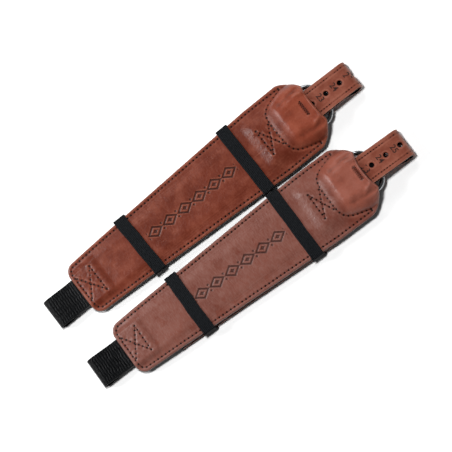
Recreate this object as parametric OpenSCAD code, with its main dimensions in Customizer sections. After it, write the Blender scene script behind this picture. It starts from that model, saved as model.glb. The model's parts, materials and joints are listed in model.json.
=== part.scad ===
// A pair of wide leather straps for riding. Each one is a tapered leather pad on a
// webbing core. The core makes a loop at the narrow end and holds a buckle under the
// moulded cover at the wide end. A perforated strap leaves the cover, folds over, comes
// back through the buckle and lies folded under the pad, held by two elastic bands.
// One unit lies along +X from the tip of its webbing loop at x = 0, on the plane z = 0.

/* [Pair] */
// Distance between the centre lines of the two units at mid length
pair_spacing = 63; // [58:0.5:90]
// Angle between the two units
fan_angle = 1.9; // [0:0.1:6]

/* [Pad] */
// Length of the pad from its narrow end to the mouth of the cover
pad_length = 233.5; // [200:0.5:285]
// Width of the pad at its narrow end
pad_low_width = 45.2; // [38:0.2:54]
// Greatest width of the pad
pad_high_width = 62.4; // [56:0.2:74]
// Radius of the two corners at the narrow end
corner_radius = 8; // [5:0.5:12]
// Thickness of the face leather
face_t = 1.8; // [1.4:0.1:2.2]
// Thickness of the grip lining on the back
back_t = 1.2; // [0.8:0.1:1.6]
// How far the narrow end droops below the flat part
end_drop = 2.2; // [0:0.1:3]

/* [Webbing] */
// Width of the webbing
webbing_w = 25; // [20:0.5:26]
// Thickness of the webbing
webbing_t = 1.2; // [1:0.1:1.4]
// Reach of the webbing loop beyond the pad
end_loop_reach = 29; // [24:0.5:40]
// Clear height inside the fold of the webbing loop
end_loop_gap = 6; // [4.4:0.1:7]

/* [Strap] */
// Width of the perforated strap
strap_w = 24.6; // [20:0.2:25]
// Thickness of the leather ply of the strap
strap_leather_t = 1.5; // [1.2:0.1:1.8]
// Thickness of the nylon ply under it
strap_lining_t = 0.9; // [0.7:0.1:1.1]
// Reach of the folded strap beyond the mouth of the cover
strap_reach = 37.5; // [36:0.5:60]
// Clear height inside the fold of the strap
strap_loop_gap = 6.2; // [4.4:0.1:7]
// Diameter of the adjusting holes
hole_d = 4.2; // [3:0.1:5]
// Distance from one adjusting hole to the next
hole_pitch = 13.4; // [12:0.1:16]

/* [Buckle] */
// Diameter of the buckle's wire
wire_d = 3.8; // [3:0.1:4.2]
// Overall width of the buckle frame
frame_width = 37.4; // [35:0.2:42]
// Distance from the hinge bar to the front bar, centre to centre
frame_length = 30; // [28:0.5:34]
// Radius of the two front corners, at the centre of the wire
frame_corner = 10; // [6:0.5:12]
// Diameter of the prong
prong_d = 2.6; // [2:0.1:3]

/* [Bands] */
// Width of an elastic band
band_w = 10.5; // [8:0.5:16]
// Thickness of an elastic band
band_t = 0.8; // [0.6:0.1:1.2]
// Distance from the pad's narrow end to the first band
low_band_at = 54; // [44:1:66]
// Distance from the pad's narrow end to the second band
high_band_at = 159; // [120:1:162]

/* [Stitching] */
// Distance from one stitch to the next
stitch_pitch = 3.6; // [3:0.1:5]
// Thickness of the thread
thread_d = 0.7; // [0.5:0.05:0.9]
// Distance of the edge stitching from the pad's edge
edge_inset = 3.2; // [2.4:0.1:4]

/* [Hidden] */
$fn = 48;
eps = 0.01;
touch = 0.08; // air between plies that lie on each other
fit = 0.2; // air around pieces that move
flex_fit = 0.35; // air round a bend, so that its far side clears at the end of its swing
strap_t = strap_leather_t + strap_lining_t;
wire_r = wire_d / 2;

// Heights of the plies above the table, from the bottom band upwards
z_tail_low = band_t + 0.1;
z_tail_high = z_tail_low + strap_t + fit;
z_back = z_tail_high + strap_t + fit;
z_core = z_back + back_t;
z_core_top = z_core + webbing_t;

// Places along the unit
pad_start = end_loop_reach;
mouth = pad_start + pad_length;
strap_end = mouth + strap_reach;
shoulder = mouth - 16.5; // the outline turns in from here to the mouth
taper_end = shoulder - 31; // the pad has its full width from here
anchor_start = mouth - 50.5; // skived end of the strap, under the box stitch
box_line = mouth - 49; // cross line of the box stitch by the buckle
cover_start = mouth - 36.5; // foot of the moulded cover
bar_x = mouth - 22.5; // hinge bar of the buckle
bow_x = bar_x + frame_length; // front bar of the buckle
end_box_line = pad_start + 18; // cross line of the box stitch by the webbing loop
fold_back_end = end_box_line + 3; // end of the webbing that folds back into the pad

// Buckle heights: the hinge bar lies in the webbing's fold, the bow under the strap
eye_t = 1.4; // wall of the prong's eye
bar_z = z_core_top + wire_r + touch;
eye_r = wire_r + touch + eye_t;
strap_slope = 0.09; // fall of the strap from the hinge bar to its fold
function strap_top(x) = bar_z + eye_r + 0.1 + strap_t - strap_slope * (x - bar_x);
ply_gap = 0.15; // air between the two layers of the strap
bow_z = strap_top(bow_x) - 2 * strap_t - ply_gap - 0.1 - wire_r;

// The narrow end droops as a parabola that starts at this place
droop_start = pad_start + 41;
droop_rate = end_drop / pow(droop_start - pad_start, 2);
function droop(x) = x < droop_start ? droop_rate * pow(droop_start - x, 2) : 0;

function ease(t) = let (c = min(1, max(0, t))) c * c * (3 - 2 * c);

// ---- outline of the pad -------------------------------------------------------------

low_half = pad_low_width / 2;
high_half = pad_high_width / 2;
mouth_half = high_half - 14.7;

// Half width of the straight taper, without its corners
function taper_half(x) =
    low_half + (high_half - low_half) * min(1, (x - pad_start) / (taper_end - pad_start));

// Half width of the outline: a quarter round, a taper, and a shoulder down to the mouth
function half_width(x) =
    x < pad_start + corner_radius ?
        taper_half(x) - corner_radius
        + sqrt(max(0, pow(corner_radius, 2) - pow(pad_start + corner_radius - x, 2)))
    : x < shoulder ? taper_half(x)
    : mouth_half + (high_half - mouth_half)
        * pow(max(0, 1 - pow((x - shoulder) / (mouth - shoulder), 1.5)), 0.8);

corner_stations = [for (a = [0:18:90]) pad_start + corner_radius * (1 - cos(a))];
corner_end = pad_start + corner_radius;
rise_start = anchor_start - 8;
taper_stations = [for (i = [1:29]) corner_end + i * (rise_start - corner_end) / 30];
cover_stations = [for (i = [0:13]) rise_start + i * (shoulder - rise_start) / 13];
mouth_stations = [for (i = [1:7]) shoulder + (mouth - shoulder) * (1 - pow(1 - i / 7, 1.6))];
stations = concat(corner_stations, taper_stations, cover_stations, mouth_stations);

// ---- height of the face over the plies beneath it ----------------------------------

core_edge = webbing_w / 2 + 0.7; // the leather lies flat on the core as far as this
core_foot = core_edge + 6; // and meets the back lining from here
anchor_t = 0.9; // skived end of the strap
stack_t = webbing_t + anchor_t;
cover_top = strap_top(bar_x) + 0.75; // underside of the cover at its highest place

function crown(y) = 1 - ease((abs(y) - core_edge) / (core_foot - core_edge));
function stack(x, y) = crown(y) * (
    webbing_t
    + stack_t * ease((x - anchor_start + 5.5) / 4.5)
    + webbing_t * (1 - ease((x - fold_back_end - 0.5) / 4)));

// Half width of the moulded cover where it meets the pad
function cover_half(x) = lookup(x, [
    [cover_start - 0.6, 1], [cover_start, 12], [cover_start + 2, 19],
    [cover_start + 8, 22.6], [cover_start + 22, 26.4], [mouth, 25]]);

function cover_rise(x) =
    z_core_top + stack_t
    + (cover_top - z_core_top - stack_t) * ease((x - cover_start + 1.5) / 12)
    - strap_slope * max(0, x - bar_x);

function cover(x, y) =
    x < cover_start - 0.5 ? 0
    : (cover_rise(x) - z_core)
        * pow(max(0, 1 - pow(abs(y) / cover_half(x), 4)), 1 / 1.3);

function face_under(x, y) = z_core + touch + max(stack(x, y), cover(x, y)) - droop(x);

// The mouth's edge is drawn back a little in its middle
mouth_hollow = 1.4;
function mouth_shift(x, y) =
    mouth_hollow * pow(max(0, (x - shoulder) / (mouth - shoulder)), 2)
    * (1 - pow(min(1, abs(y) / mouth_half), 2));

// Grid across the pad: even steps over the core, then even steps to the edge
side_steps = 5;
core_steps = 3;
function across(x, j) =
    let (half = half_width(x), core = (core_edge) * min(1, half / (core_foot + 1)), n = abs(j))
    sign(j) * (n <= core_steps ? core * n / core_steps
        : core + (half - core) * (n - core_steps) / side_steps);

// ---- drawing helpers ----------------------------------------------------------------

function arc(centre, r, from, to, n) =
    [for (i = [0:n]) let (a = from + (to - from) * i / n) centre + r * [cos(a), sin(a)]];

function s_curve(p, q, n) =
    [for (i = [0:n]) let (t = i / n) [p.x + (q.x - p.x) * t, p.y + (q.y - p.y) * (1 - cos(180 * t)) / 2]];

function direction(path, i) =
    let (d = path[min(i + 1, len(path) - 1)] - path[max(i - 1, 0)]) d / norm(d);
function left_of(path, i) = let (d = direction(path, i)) [-d.y, d.x];

// Outline of a ply that runs along a path, from one distance left of it to another
function ply(path, low, high) = concat(
    [for (i = [0:len(path) - 1]) path[i] + low * left_of(path, i)],
    [for (i = [len(path) - 1:-1:0]) path[i] + high * left_of(path, i)]);

// A side view, drawn in x and z, made as wide as a strap
module side(width) {
    rotate([90, 0, 0])
        linear_extrude(width, center = true)
            children();
}

// A closed solid between an upper and a lower grid of points
module grid_shell(upper, lower) {
    rows = len(upper);
    cols = len(upper[0]);
    n = rows * cols;
    function at(i, j) = i * cols + j;
    polyhedron(
        points = concat([for (r = upper) each r], [for (r = lower) each r]),
        faces = concat(
            [for (i = [0:rows - 2], j = [0:cols - 2]) each [
                [at(i, j), at(i, j + 1), at(i + 1, j + 1)],
                [at(i, j), at(i + 1, j + 1), at(i + 1, j)],
                [n + at(i, j), n + at(i + 1, j + 1), n + at(i, j + 1)],
                [n + at(i, j), n + at(i + 1, j), n + at(i + 1, j + 1)]]],
            [for (i = [0:rows - 2], j = [0, cols - 1]) let (a = at(i, j), b = at(i + 1, j))
                each j == 0 ? [[a, b, n + b], [a, n + b, n + a]]
                            : [[b, a, n + a], [b, n + a, n + b]]],
            [for (j = [0:cols - 2], i = [0, rows - 1]) let (a = at(i, j), b = at(i, j + 1))
                each i == 0 ? [[b, a, n + a], [b, n + a, n + b]]
                            : [[a, b, n + b], [a, n + b, n + a]]]));
}

// ---- stitches -----------------------------------------------------------------------

function path_lengths(path, i = 0, sum = 0) =
    i == len(path) - 1 ? [sum]
    : concat([sum], path_lengths(path, i + 1, sum + norm(path[i + 1] - path[i])));

function point_at(path, lengths, s) =
    let (k = max([for (i = [0:len(path) - 2]) if (lengths[i] <= s + eps) i]),
        t = (s - lengths[k]) / max(eps, lengths[k + 1] - lengths[k]))
    path[k] + (path[k + 1] - path[k]) * min(1, t);

function face_top(x, y) = face_under(x, y) + face_t;

// One thread between two needle holes, half sunk into the leather
module stitch(p, q) {
    a = [p.x, p.y, face_top(p.x, p.y)];
    b = [q.x, q.y, face_top(q.x, q.y)];
    d = b - a;
    translate((a + b) / 2)
        rotate([0, -asin(d.z / norm(d)), 0] + [0, 0, atan2(d.y, d.x)])
            cube([norm(d) - 0.9, thread_d, thread_d], center = true);
}

module stitch_run(path) {
    lengths = path_lengths(path);
    count = max(2, round(lengths[len(path) - 1] / stitch_pitch));
    step = lengths[len(path) - 1] / count;
    for (i = [0:count - 1])
        stitch(point_at(path, lengths, i * step), point_at(path, lengths, (i + 1) * step));
}

// ---- pieces of one unit -------------------------------------------------------------

leather = [0.55, 0.27, 0.18];
black = [0.08, 0.08, 0.09];
thread = [0.2, 0.1, 0.08];

module face_panel() {
    color(leather)
        grid_shell(
            [for (x = stations) [for (j = [8:-1:-8]) let (y = across(x, j))
                [x - mouth_shift(x, y), y, face_top(x, y)]]],
            [for (x = stations) [for (j = [8:-1:-8]) let (y = across(x, j))
                [x - mouth_shift(x, y), y, face_under(x, y)]]]);
}

// The back lining has the pad's outline and a bay that leaves the buckle open
bay_start = cover_start + 4;
back_end = shoulder + 3;
module back_panel() {
    outline = [for (x = stations) if (x < back_end) x];
    edge = concat([for (x = outline) [x, half_width(x)]], [[back_end, half_width(back_end)]]);
    profile = [for (x = outline) [x, z_back - droop(x)]];
    color(black)
        difference() {
            intersection() {
                linear_extrude(z_core + 5)
                    polygon(concat(edge, [for (i = [len(edge) - 1:-1:0]) [edge[i].x, -edge[i].y]]));
                side(pad_high_width + 10)
                    polygon(concat(profile, [[back_end + 1, z_back], [back_end + 1, z_core]],
                        [for (i = [len(profile) - 1:-1:0]) profile[i] + [0, back_t]]));
            }
            translate([bay_start, 0, z_back - 1])
                linear_extrude(back_t + 2)
                    polygon([[0, -13], [4, -18.6], [back_end - bay_start + 1, -22.5],
                        [back_end - bay_start + 1, 22.5], [4, 18.6], [0, 13]]);
        }
}

// One length of webbing: under the whole pad, round the hinge bar and back to the box
// stitch, and at the narrow end the turned-in end of the loop. The prong's eye has a slot.
flex_end_x = pad_start - 4.5; // the webbing loop bends about this place
webbing_flex_r = webbing_t + touch / 2;
module core_webbing() {
    run = concat(
        [for (x = stations) if (x < bar_x - 2) [x, z_core - droop(x)]],
        [[bar_x, z_core]],
        arc([bar_x, bar_z], wire_r + touch + webbing_t, -80, 80, 12),
        s_curve([bar_x, bar_z + wire_r + touch + webbing_t], [bar_x - 13, z_core_top + webbing_t], 8),
        [[anchor_start - 2, z_core_top + webbing_t]]);
    turned = [for (x = stations) if (x < fold_back_end) [x, z_core_top + touch / 2 - droop(x)]];
    color(black) {
        difference() {
            side(webbing_w)
                polygon(ply(run, 0, webbing_t - touch / 2));
            translate([bar_x - 7, -prong_d / 2 - 0.9, z_core - 1])
                cube([7 + eye_r + 1, prong_d + 1.8, 2 * eye_r + 4]);
        }
        side(webbing_w)
            polygon(ply(turned, 0, webbing_t - touch));
        // The two plies run on out of the pad to the place where the loop bends
        difference() {
            side(webbing_w)
                for (low = [-webbing_t, touch / 2]) {
                    high = low + webbing_t - touch / 2;
                    polygon([for (p = [[pad_start, low], [flex_end_x, low],
                        [flex_end_x, high], [pad_start, high]]) [p.x, p.y + end_line(p.x)]]);
                }
            end_flex_hole();
        }
    }
}

// Middle height of the two webbing plies outside the pad, on the slope of its end
end_slope = 2 * droop_rate * (droop_start - pad_start);
function end_line(x) = z_core_top - end_drop - end_slope * (pad_start - x);

module end_flex_hole() {
    translate([flex_end_x, 0, end_line(flex_end_x)])
        rotate([90, 0, 0])
            cylinder(r = webbing_flex_r + flex_fit, h = webbing_w + 2, center = true);
}

end_fold_r = end_loop_gap / 2 + webbing_t;
module end_loop_webbing() {
    centre = [end_fold_r, end_fold_r + 0.15];
    hinge = [flex_end_x, end_line(flex_end_x)];
    upper = s_curve(hinge + [0, touch / 2], centre + [0, end_fold_r - webbing_t], 10);
    lower = s_curve(centre - [0, end_fold_r - webbing_t], hinge - [0, touch / 2], 10);
    run = concat(upper, arc(centre, end_fold_r - webbing_t, 100, 260, 12), lower);
    color(black)
        side(webbing_w)
            polygon(ply(run, 0, -webbing_t));
}

// ---- strap --------------------------------------------------------------------------

fold_r = strap_loop_gap / 2 + strap_t;
fold_centre = [strap_end - fold_r, strap_top(strap_end - fold_r) - fold_r];

// Middle height of the two strap layers where they lie on each other
function layer_mid(x) = strap_top(x) - strap_t - ply_gap / 2;
flex_r = strap_t + ply_gap / 2 + 0.02;

module strap_flex(x, r) {
    translate([x, 0, layer_mid(x)])
        rotate([90, 0, 0])
            cylinder(r = r, h = strap_w + 2, center = true);
}

// Place of a hole on the strap, measured along it: x, z and turn about the Y axis
strap_lean = atan(strap_slope);
fold_mid_r = fold_r - strap_t / 2;
function strap_place(x) =
    let (arc_run = x - fold_centre.x, turn = strap_lean + arc_run / fold_mid_r * 180 / PI)
    arc_run < 0 ? [x, strap_top(x) - strap_t / 2, strap_lean]
    : turn < 180 ? [fold_centre.x + fold_mid_r * sin(turn), fold_centre.y + fold_mid_r * cos(turn), turn]
    : let (back = (turn - 180) * PI / 180 * fold_mid_r)
        [fold_centre.x - back, fold_centre.y - fold_mid_r + lower_rise(back), 180 + lower_turn(back)];

module strap_hole(p) {
    inwards = strap_t / 2 + (p.z > 20 && p.z < 170 ? strap_loop_gap / 4 : ply_gap / 2);
    translate([p.x, 0, p.y])
        rotate([0, p.z, 0])
            translate([0, 0, -inwards])
                cylinder(d = hole_d, h = inwards + strap_t / 2 + ply_gap / 2);
}

// Holes on the strap after the one at first_hole; those short of x are in other pieces
module strap_holes(first_hole, x, count) {
    for (i = [0:count - 1])
        let (p = strap_place(first_hole + i * hole_pitch))
            if (p.x > x)
                strap_hole(p);
}

// The fixed end of the strap: skived under the box stitch, then up over the hinge bar
module strap_anchor(leather_ply, flex, first_hole) {
    end_x = flex;
    top_line = [for (x = [bar_x - 1, end_x]) [x, strap_top(x)]];
    z0 = z_core_top + webbing_t + touch;
    foot = [cover_start + 1, z0 + anchor_t - 2 * touch];
    difference() {
        side(strap_w)
            if (leather_ply)
                polygon(concat(
                    [[anchor_start, z0]],
                    s_curve([cover_start + 1.5, z0], top_line[0] + [0, -strap_leather_t], 8),
                    [top_line[1] + [0, -strap_leather_t], top_line[1]],
                    s_curve(top_line[0], foot, 8),
                    [[anchor_start, foot.y]]));
            else
                polygon([top_line[0] + [0, -strap_leather_t - touch / 4], top_line[0] + [0, -strap_t],
                    top_line[1] + [0, -strap_t], top_line[1] + [0, -strap_leather_t - touch / 4]]);
        strap_flex(flex, flex_r + flex_fit);
        strap_holes(first_hole - hole_pitch, 0, 2);
    }
}

// Where the strap has come down to run under the hinge bar
pass_end = bar_x - 6;
pass_low = bar_x + 6;
pass_high = mouth + 1;

// The strap on its way back: over the bow, then down past the prong and under the bar
function pass_path(flex) =
    let (z = function (x) strap_top(x) - strap_t - ply_gap - strap_lining_t)
    concat([[flex, z(flex)]],
        s_curve([pass_high, z(pass_high)], [pass_low, z_tail_high + strap_leather_t], 14),
        [[pass_end, z_tail_high + strap_leather_t]]);

// The prong lies against the underside of the bow
frame_tilt = atan2(bar_z - bow_z, frame_length);
frame_run = norm([frame_length, bar_z - bow_z]);
prong_fall = frame_tilt + asin((wire_r + prong_d / 2 + 0.15) / frame_run);
prong_reach = frame_run + 3.6;
prong_play = 2; // the strap's hole lets the prong drop this far
module strap_pass(leather_ply, flex, first_hole) {
    difference() {
        side(strap_w)
            polygon(leather_ply ? ply(pass_path(flex), 0, strap_leather_t)
                : ply(pass_path(flex), -strap_lining_t, -touch / 4));
        strap_flex(flex, flex_r + flex_fit);
        strap_hole([first_hole - (strap_t + ply_gap) * sin(strap_lean),
            strap_top(first_hole) - 1.5 * strap_t - ply_gap, strap_lean]);
        // the hole that the prong stands in, drawn long by the strap's pull
        translate([bar_x, 0, bar_z])
            rotate([0, 90 + prong_fall, 0])
                linear_extrude(2 * frame_length)
                    hull() {
                        circle(d = hole_d);
                        translate([prong_play, 0])
                            circle(d = hole_d);
                    }
    }
}

// The free loop: both layers from the bend to the fold
low_run = 13; // from the fold's lowest place to where the layers lie together
low_lift = strap_top(fold_centre.x - low_run) - 2 * strap_t - ply_gap - fold_centre.y + fold_r;
function lower_rise(back) = low_lift * (1 - cos(180 * min(1, back / low_run))) / 2;
function lower_turn(back) = atan(low_lift * PI / 2 / low_run * sin(180 * min(1, back / low_run)));
function loop_path(flex) =
    let (r = fold_r - strap_leather_t, seam = strap_leather_t, before = flex - flex_r - 0.5)
    concat([[before, strap_top(before) - seam]],
        arc(fold_centre, r, 90 - strap_lean, -84, 16),
        [for (back = [low_run / 10:low_run / 10:low_run])
            [fold_centre.x - back, fold_centre.y - r + lower_rise(back)]],
        [[before, strap_top(before) - 2 * strap_t - ply_gap + seam]]);

module strap_loop(leather_ply, flex, first_hole) {
    difference() {
        intersection() {
            side(strap_w)
                polygon(leather_ply ? ply(loop_path(flex), 0, strap_leather_t)
                    : ply(loop_path(flex), -strap_lining_t, -touch / 4));
            union() {
                strap_flex(flex, flex_r);
                translate([flex + 0.3, -strap_w, -5])
                    cube([strap_reach + frame_length, 2 * strap_w, 40]);
            }
        }
        strap_holes(first_hole + hole_pitch, flex + flex_r + hole_d / 2, 4);
    }
}

strap_stitch_inset = 3.2;
module strap_stitching(flex) {
    first = flex + 3;
    count = floor((fold_centre.x - first) / 2.7);
    color(thread)
        for (y = [-1, 1], i = [0:count - 1])
            translate([first + (i + 0.5) * 2.7, y * (strap_w / 2 - strap_stitch_inset),
                strap_top(first + (i + 0.5) * 2.7)])
                rotate([0, strap_lean, 0])
                    cube([1.9, 0.5, 0.4], center = true);
}

// The tail: under the pad to a fold, and back on itself. It may lie aslant.
tail_fold_x = pad_start + 38.5;
tail_return = pad_start + 194;
fold_tail_r = strap_t + fit / 2;
tail_holes = 11; // in each layer of the tail
function tail_ply_low(leather_ply) = leather_ply ? [fit / 2, fit / 2 + strap_leather_t]
    : [fit / 2 + strap_leather_t + touch / 4, fold_tail_r];

// slant: angles of the upper and the lower layer to the unit's axis
module strap_tail(leather_ply, slant) {
    run = pass_end - touch - tail_fold_x;
    fold_at = [pass_end - run, -run * tan(slant[0])];
    mid_z = z_tail_low + strap_t + fit / 2;
    ring = tail_ply_low(leather_ply);
    turn = (slant[0] - slant[1]) / 2;
    back_run = tail_return - fold_at.x;
    difference() {
        union() {
            intersection() {
                translate([pass_end, 0, mid_z + ring[0]])
                    rotate([0, 0, slant[0]])
                        translate([-run - 5, -strap_w / 2, 0])
                            cube([run + 10, strap_w, ring[1] - ring[0]]);
                translate([fold_at.x, fold_at.y, -1])
                    rotate([0, 0, turn])
                        translate([0, -2 * strap_w, 0])
                            cube([run + 20, 4 * strap_w, 30]);
                translate([fold_at.x - 5, -60, -1])
                    cube([pass_end - touch - fold_at.x + 5, 120, 30]);
            }
            intersection() {
                translate([fold_at.x, fold_at.y, mid_z - ring[1]])
                    rotate([0, 0, -slant[1]])
                        translate([-5, -strap_w / 2, 0])
                            cube([back_run / cos(slant[1]) + 5, strap_w, ring[1] - ring[0]]);
                translate([fold_at.x, fold_at.y, -1])
                    rotate([0, 0, turn])
                        translate([0, -2 * strap_w, 0])
                            cube([back_run + 20, 4 * strap_w, 30]);
            }
            translate([fold_at.x, fold_at.y, mid_z])
                rotate([0, 0, turn])
                    rotate([90, 0, 0])
                        difference() {
                            cylinder(r = ring[1], h = strap_w, center = true);
                            cylinder(r = ring[0], h = strap_w + 1, center = true);
                            translate([0, -10, -strap_w])
                                cube([20, 20, 2 * strap_w]);
                        }
        }
        for (i = [0:tail_holes - 1]) {
            translate([pass_end, 0, mid_z + eps])
                rotate([0, 0, slant[0]])
                    translate([-(i + 0.4) * hole_pitch, 0, 0])
                        cylinder(d = hole_d, h = fold_tail_r + 1);
            translate([fold_at.x, fold_at.y, mid_z - fold_tail_r - 1])
                rotate([0, 0, -slant[1]])
                    translate([(i + 0.5) * hole_pitch, 0, 0])
                        cylinder(d = hole_d, h = fold_tail_r + 1 - eps);
        }
    }
}

// ---- buckle -------------------------------------------------------------------------

frame_half = frame_width / 2 - wire_r;
rear_corner = 3.2;

// A flat ring of round wire, drawn in its own plane with the hinge bar at x = 0
module buckle_frame() {
    color([0.75, 0.76, 0.78])
        translate([bar_x, 0, bar_z])
            rotate([0, frame_tilt, 0]) {
                rotate([90, 0, 0])
                    cylinder(r = wire_r, h = 2 * (frame_half - rear_corner), center = true);
                translate([frame_run, 0, 0])
                    rotate([90, 0, 0])
                        cylinder(r = wire_r, h = 2 * (frame_half - frame_corner), center = true);
                for (s = [-1, 1]) {
                    translate([rear_corner, s * frame_half, 0])
                        rotate([0, 90, 0])
                            cylinder(r = wire_r, h = frame_run - rear_corner - frame_corner);
                    translate([frame_run - frame_corner, s * (frame_half - frame_corner), 0])
                        rotate([0, 0, s > 0 ? 0 : -90])
                            rotate_extrude(angle = 90)
                                translate([frame_corner, 0])
                                    circle(r = wire_r);
                    translate([rear_corner, s * (frame_half - rear_corner), 0])
                        rotate([0, 0, s > 0 ? 90 : 180])
                            rotate_extrude(angle = 90)
                                translate([rear_corner, 0])
                                    circle(r = wire_r);
                }
            }
}

module buckle_prong() {
    color([0.7, 0.71, 0.73])
        difference() {
            translate([bar_x, 0, bar_z])
                union() {
                    rotate([90, 0, 0])
                        cylinder(r = eye_r - touch / 2, h = prong_d, center = true);
                    rotate([0, 90 + prong_fall, 0])
                        cylinder(d = prong_d, h = prong_reach - prong_d / 2);
                    rotate([0, prong_fall, 0])
                        translate([prong_reach - prong_d / 2, 0, 0])
                            sphere(d = prong_d);
                }
            translate([bar_x, 0, bar_z])
                rotate([90, 0, 0])
                    cylinder(r = wire_r + touch, h = 4 * prong_d, center = true);
        }
}

// ---- elastic bands ------------------------------------------------------------------

// A closed outline pushed outwards by a distance, each corner staying sharp
function grow(pts, d) =
    let (n = len(pts))
    [for (i = [0:n - 1])
        let (a = pts[(i + n - 1) % n], b = pts[i], c = pts[(i + 1) % n],
            u = (b - a) / norm(b - a), v = (c - b) / norm(c - b),
            nu = [u.y, -u.x], nv = [v.y, -v.x])
        b + (nu + nv) * d / (1 + nu * nv)];

// What a band goes round, anticlockwise from the bottom right in y and z
function bundle_half(slant, at, side_sign) =
    let (run = pass_end - tail_fold_x, fold_y = -run * tan(slant[0]),
        upper = -(pass_end - at) * tan(slant[0]),
        lower = fold_y - (at - tail_fold_x) * tan(slant[1]))
    side_sign > 0 ? max(upper, lower) + strap_w / 2 : min(upper, lower) - strap_w / 2;

low_travel = [-15, 8];
high_travel = [-20, 5];

function band_inside(at, travel, slant) =
    let (half = half_width(at + band_w + travel[1]) + 0.25,
        ends = [at + travel[0], at + band_w + travel[1]],
        right = min([for (x = ends) bundle_half(slant, x, -1)]) - 0.4,
        left = max([for (x = ends) bundle_half(slant, x, 1)]) + 0.4,
        top = z_core_top + face_t + touch + 0.12)
    [[right, band_t], [left, band_t], [max(left, half), z_back - 0.3],
        [half, z_core + face_t + 0.3], [core_edge + 1, top], [-core_edge - 1, top],
        [-half, z_core + face_t + 0.3], [min(right, -half), z_back - 0.3]];

module band(at, travel, slant) {
    inside = band_inside(at, travel, slant);
    color(black)
        translate([at, 0, 0])
            rotate([90, 0, 90])
                linear_extrude(band_w)
                    difference() {
                        polygon(grow(inside, band_t));
                        polygon(inside);
                    }
}

// The bar tack that closes the band, on its slanted underside
module band_stitching(at, travel, slant) {
    inside = band_inside(at, travel, slant);
    low = inside[1];
    rise = inside[2] - low;
    out = [rise.y, -rise.x] / norm(rise);
    mid = low + rise / 2 + out * band_t;
    color(thread)
        for (i = [0:2])
            let (place = mid + rise / norm(rise) * (i - 1) * 1.6)
                translate([at + band_w / 2, place.x, place.y])
                    rotate([atan2(rise.y, rise.x), 0, 0])
                        cube([band_w - 2.4, 0.5, 0.3], center = true);
}

// ---- stitching of one unit ----------------------------------------------------------

edge_end = shoulder + 1.5;
module edge_stitching() {
    r = corner_radius - edge_inset;
    corner = [pad_start + corner_radius, taper_half(pad_start + corner_radius) - corner_radius];
    upper = [for (i = [0:12])
        let (x = edge_end + (corner.x - edge_end) * i / 12)
            [x, half_width(x) - edge_inset]];
    color(thread)
        stitch_run(concat(upper, arc(corner, r, 90, 180, 5),
            [for (p = arc(corner, r, 180, 90, 5)) [p.x, -p.y]],
            [for (i = [12:-1:0]) [upper[i].x, -upper[i].y]]));
}

// The line that holds the moulded cover down round the buckle
cover_line = [[edge_end, high_half - 4.6], [cover_start + 9, 22.4], [cover_start + 2.6, 18.6],
    [cover_start - 0.4, 14], [cover_start - 0.8, 8]];
module cover_stitching() {
    color(thread)
        stitch_run(concat(cover_line,
            [for (i = [len(cover_line) - 1:-1:0]) [cover_line[i].x, -cover_line[i].y]]));
}

box_half = webbing_w / 2 - 1;
// A cross line and a diagonal cross that sew the webbing's end to the pad
module box_stitching(line_x, far_x) {
    color(thread) {
        stitch_run([[line_x, box_half], [line_x, -box_half]]);
        // Each diagonal stops short of the crossing and starts again beyond it
        crossing = [(line_x + far_x) / 2, 0];
        for (s = [-1, 1]) {
            gap = [line_x > far_x ? 0.8 : -0.8, s * 0.6];
            stitch_run([[line_x, s * box_half], crossing + gap]);
            stitch_run([crossing - gap, [far_x, -s * (box_half - 2)]]);
        }
    }
}

module cover_bar_tack() {
    x = mouth - 7.5;
    color(thread)
        for (y = [-5:1.25:6])
            translate([x, y, face_top(x, y)])
                cube([1.6, 0.7, 0.6], center = true);
}

// ---- the two units ------------------------------------------------------------------

// Each unit: its side of the pair, the first strap hole past the mouth, the slants of the
// tail's two layers, and where its low band lies beyond low_band_at
left_unit = [1, mouth + 11.5, [0, 0], 0];
right_unit = [-1, mouth + 5.5, [4.4, 2.4], 3.5];

module placed(unit) {
    mid = (end_loop_reach + pad_length + strap_reach) / 2;
    translate([0, unit[0] * pair_spacing / 2, 0])
        rotate([0, 0, unit[0] * fan_angle / 2])
            translate([-mid, 0, 0])
                children();
}

// Bends between holes, so that no hole is cut in two
function unit_flex(unit) = unit[1] + hole_pitch * (unit[0] > 0 ? 0.4 : 0.5);

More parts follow.
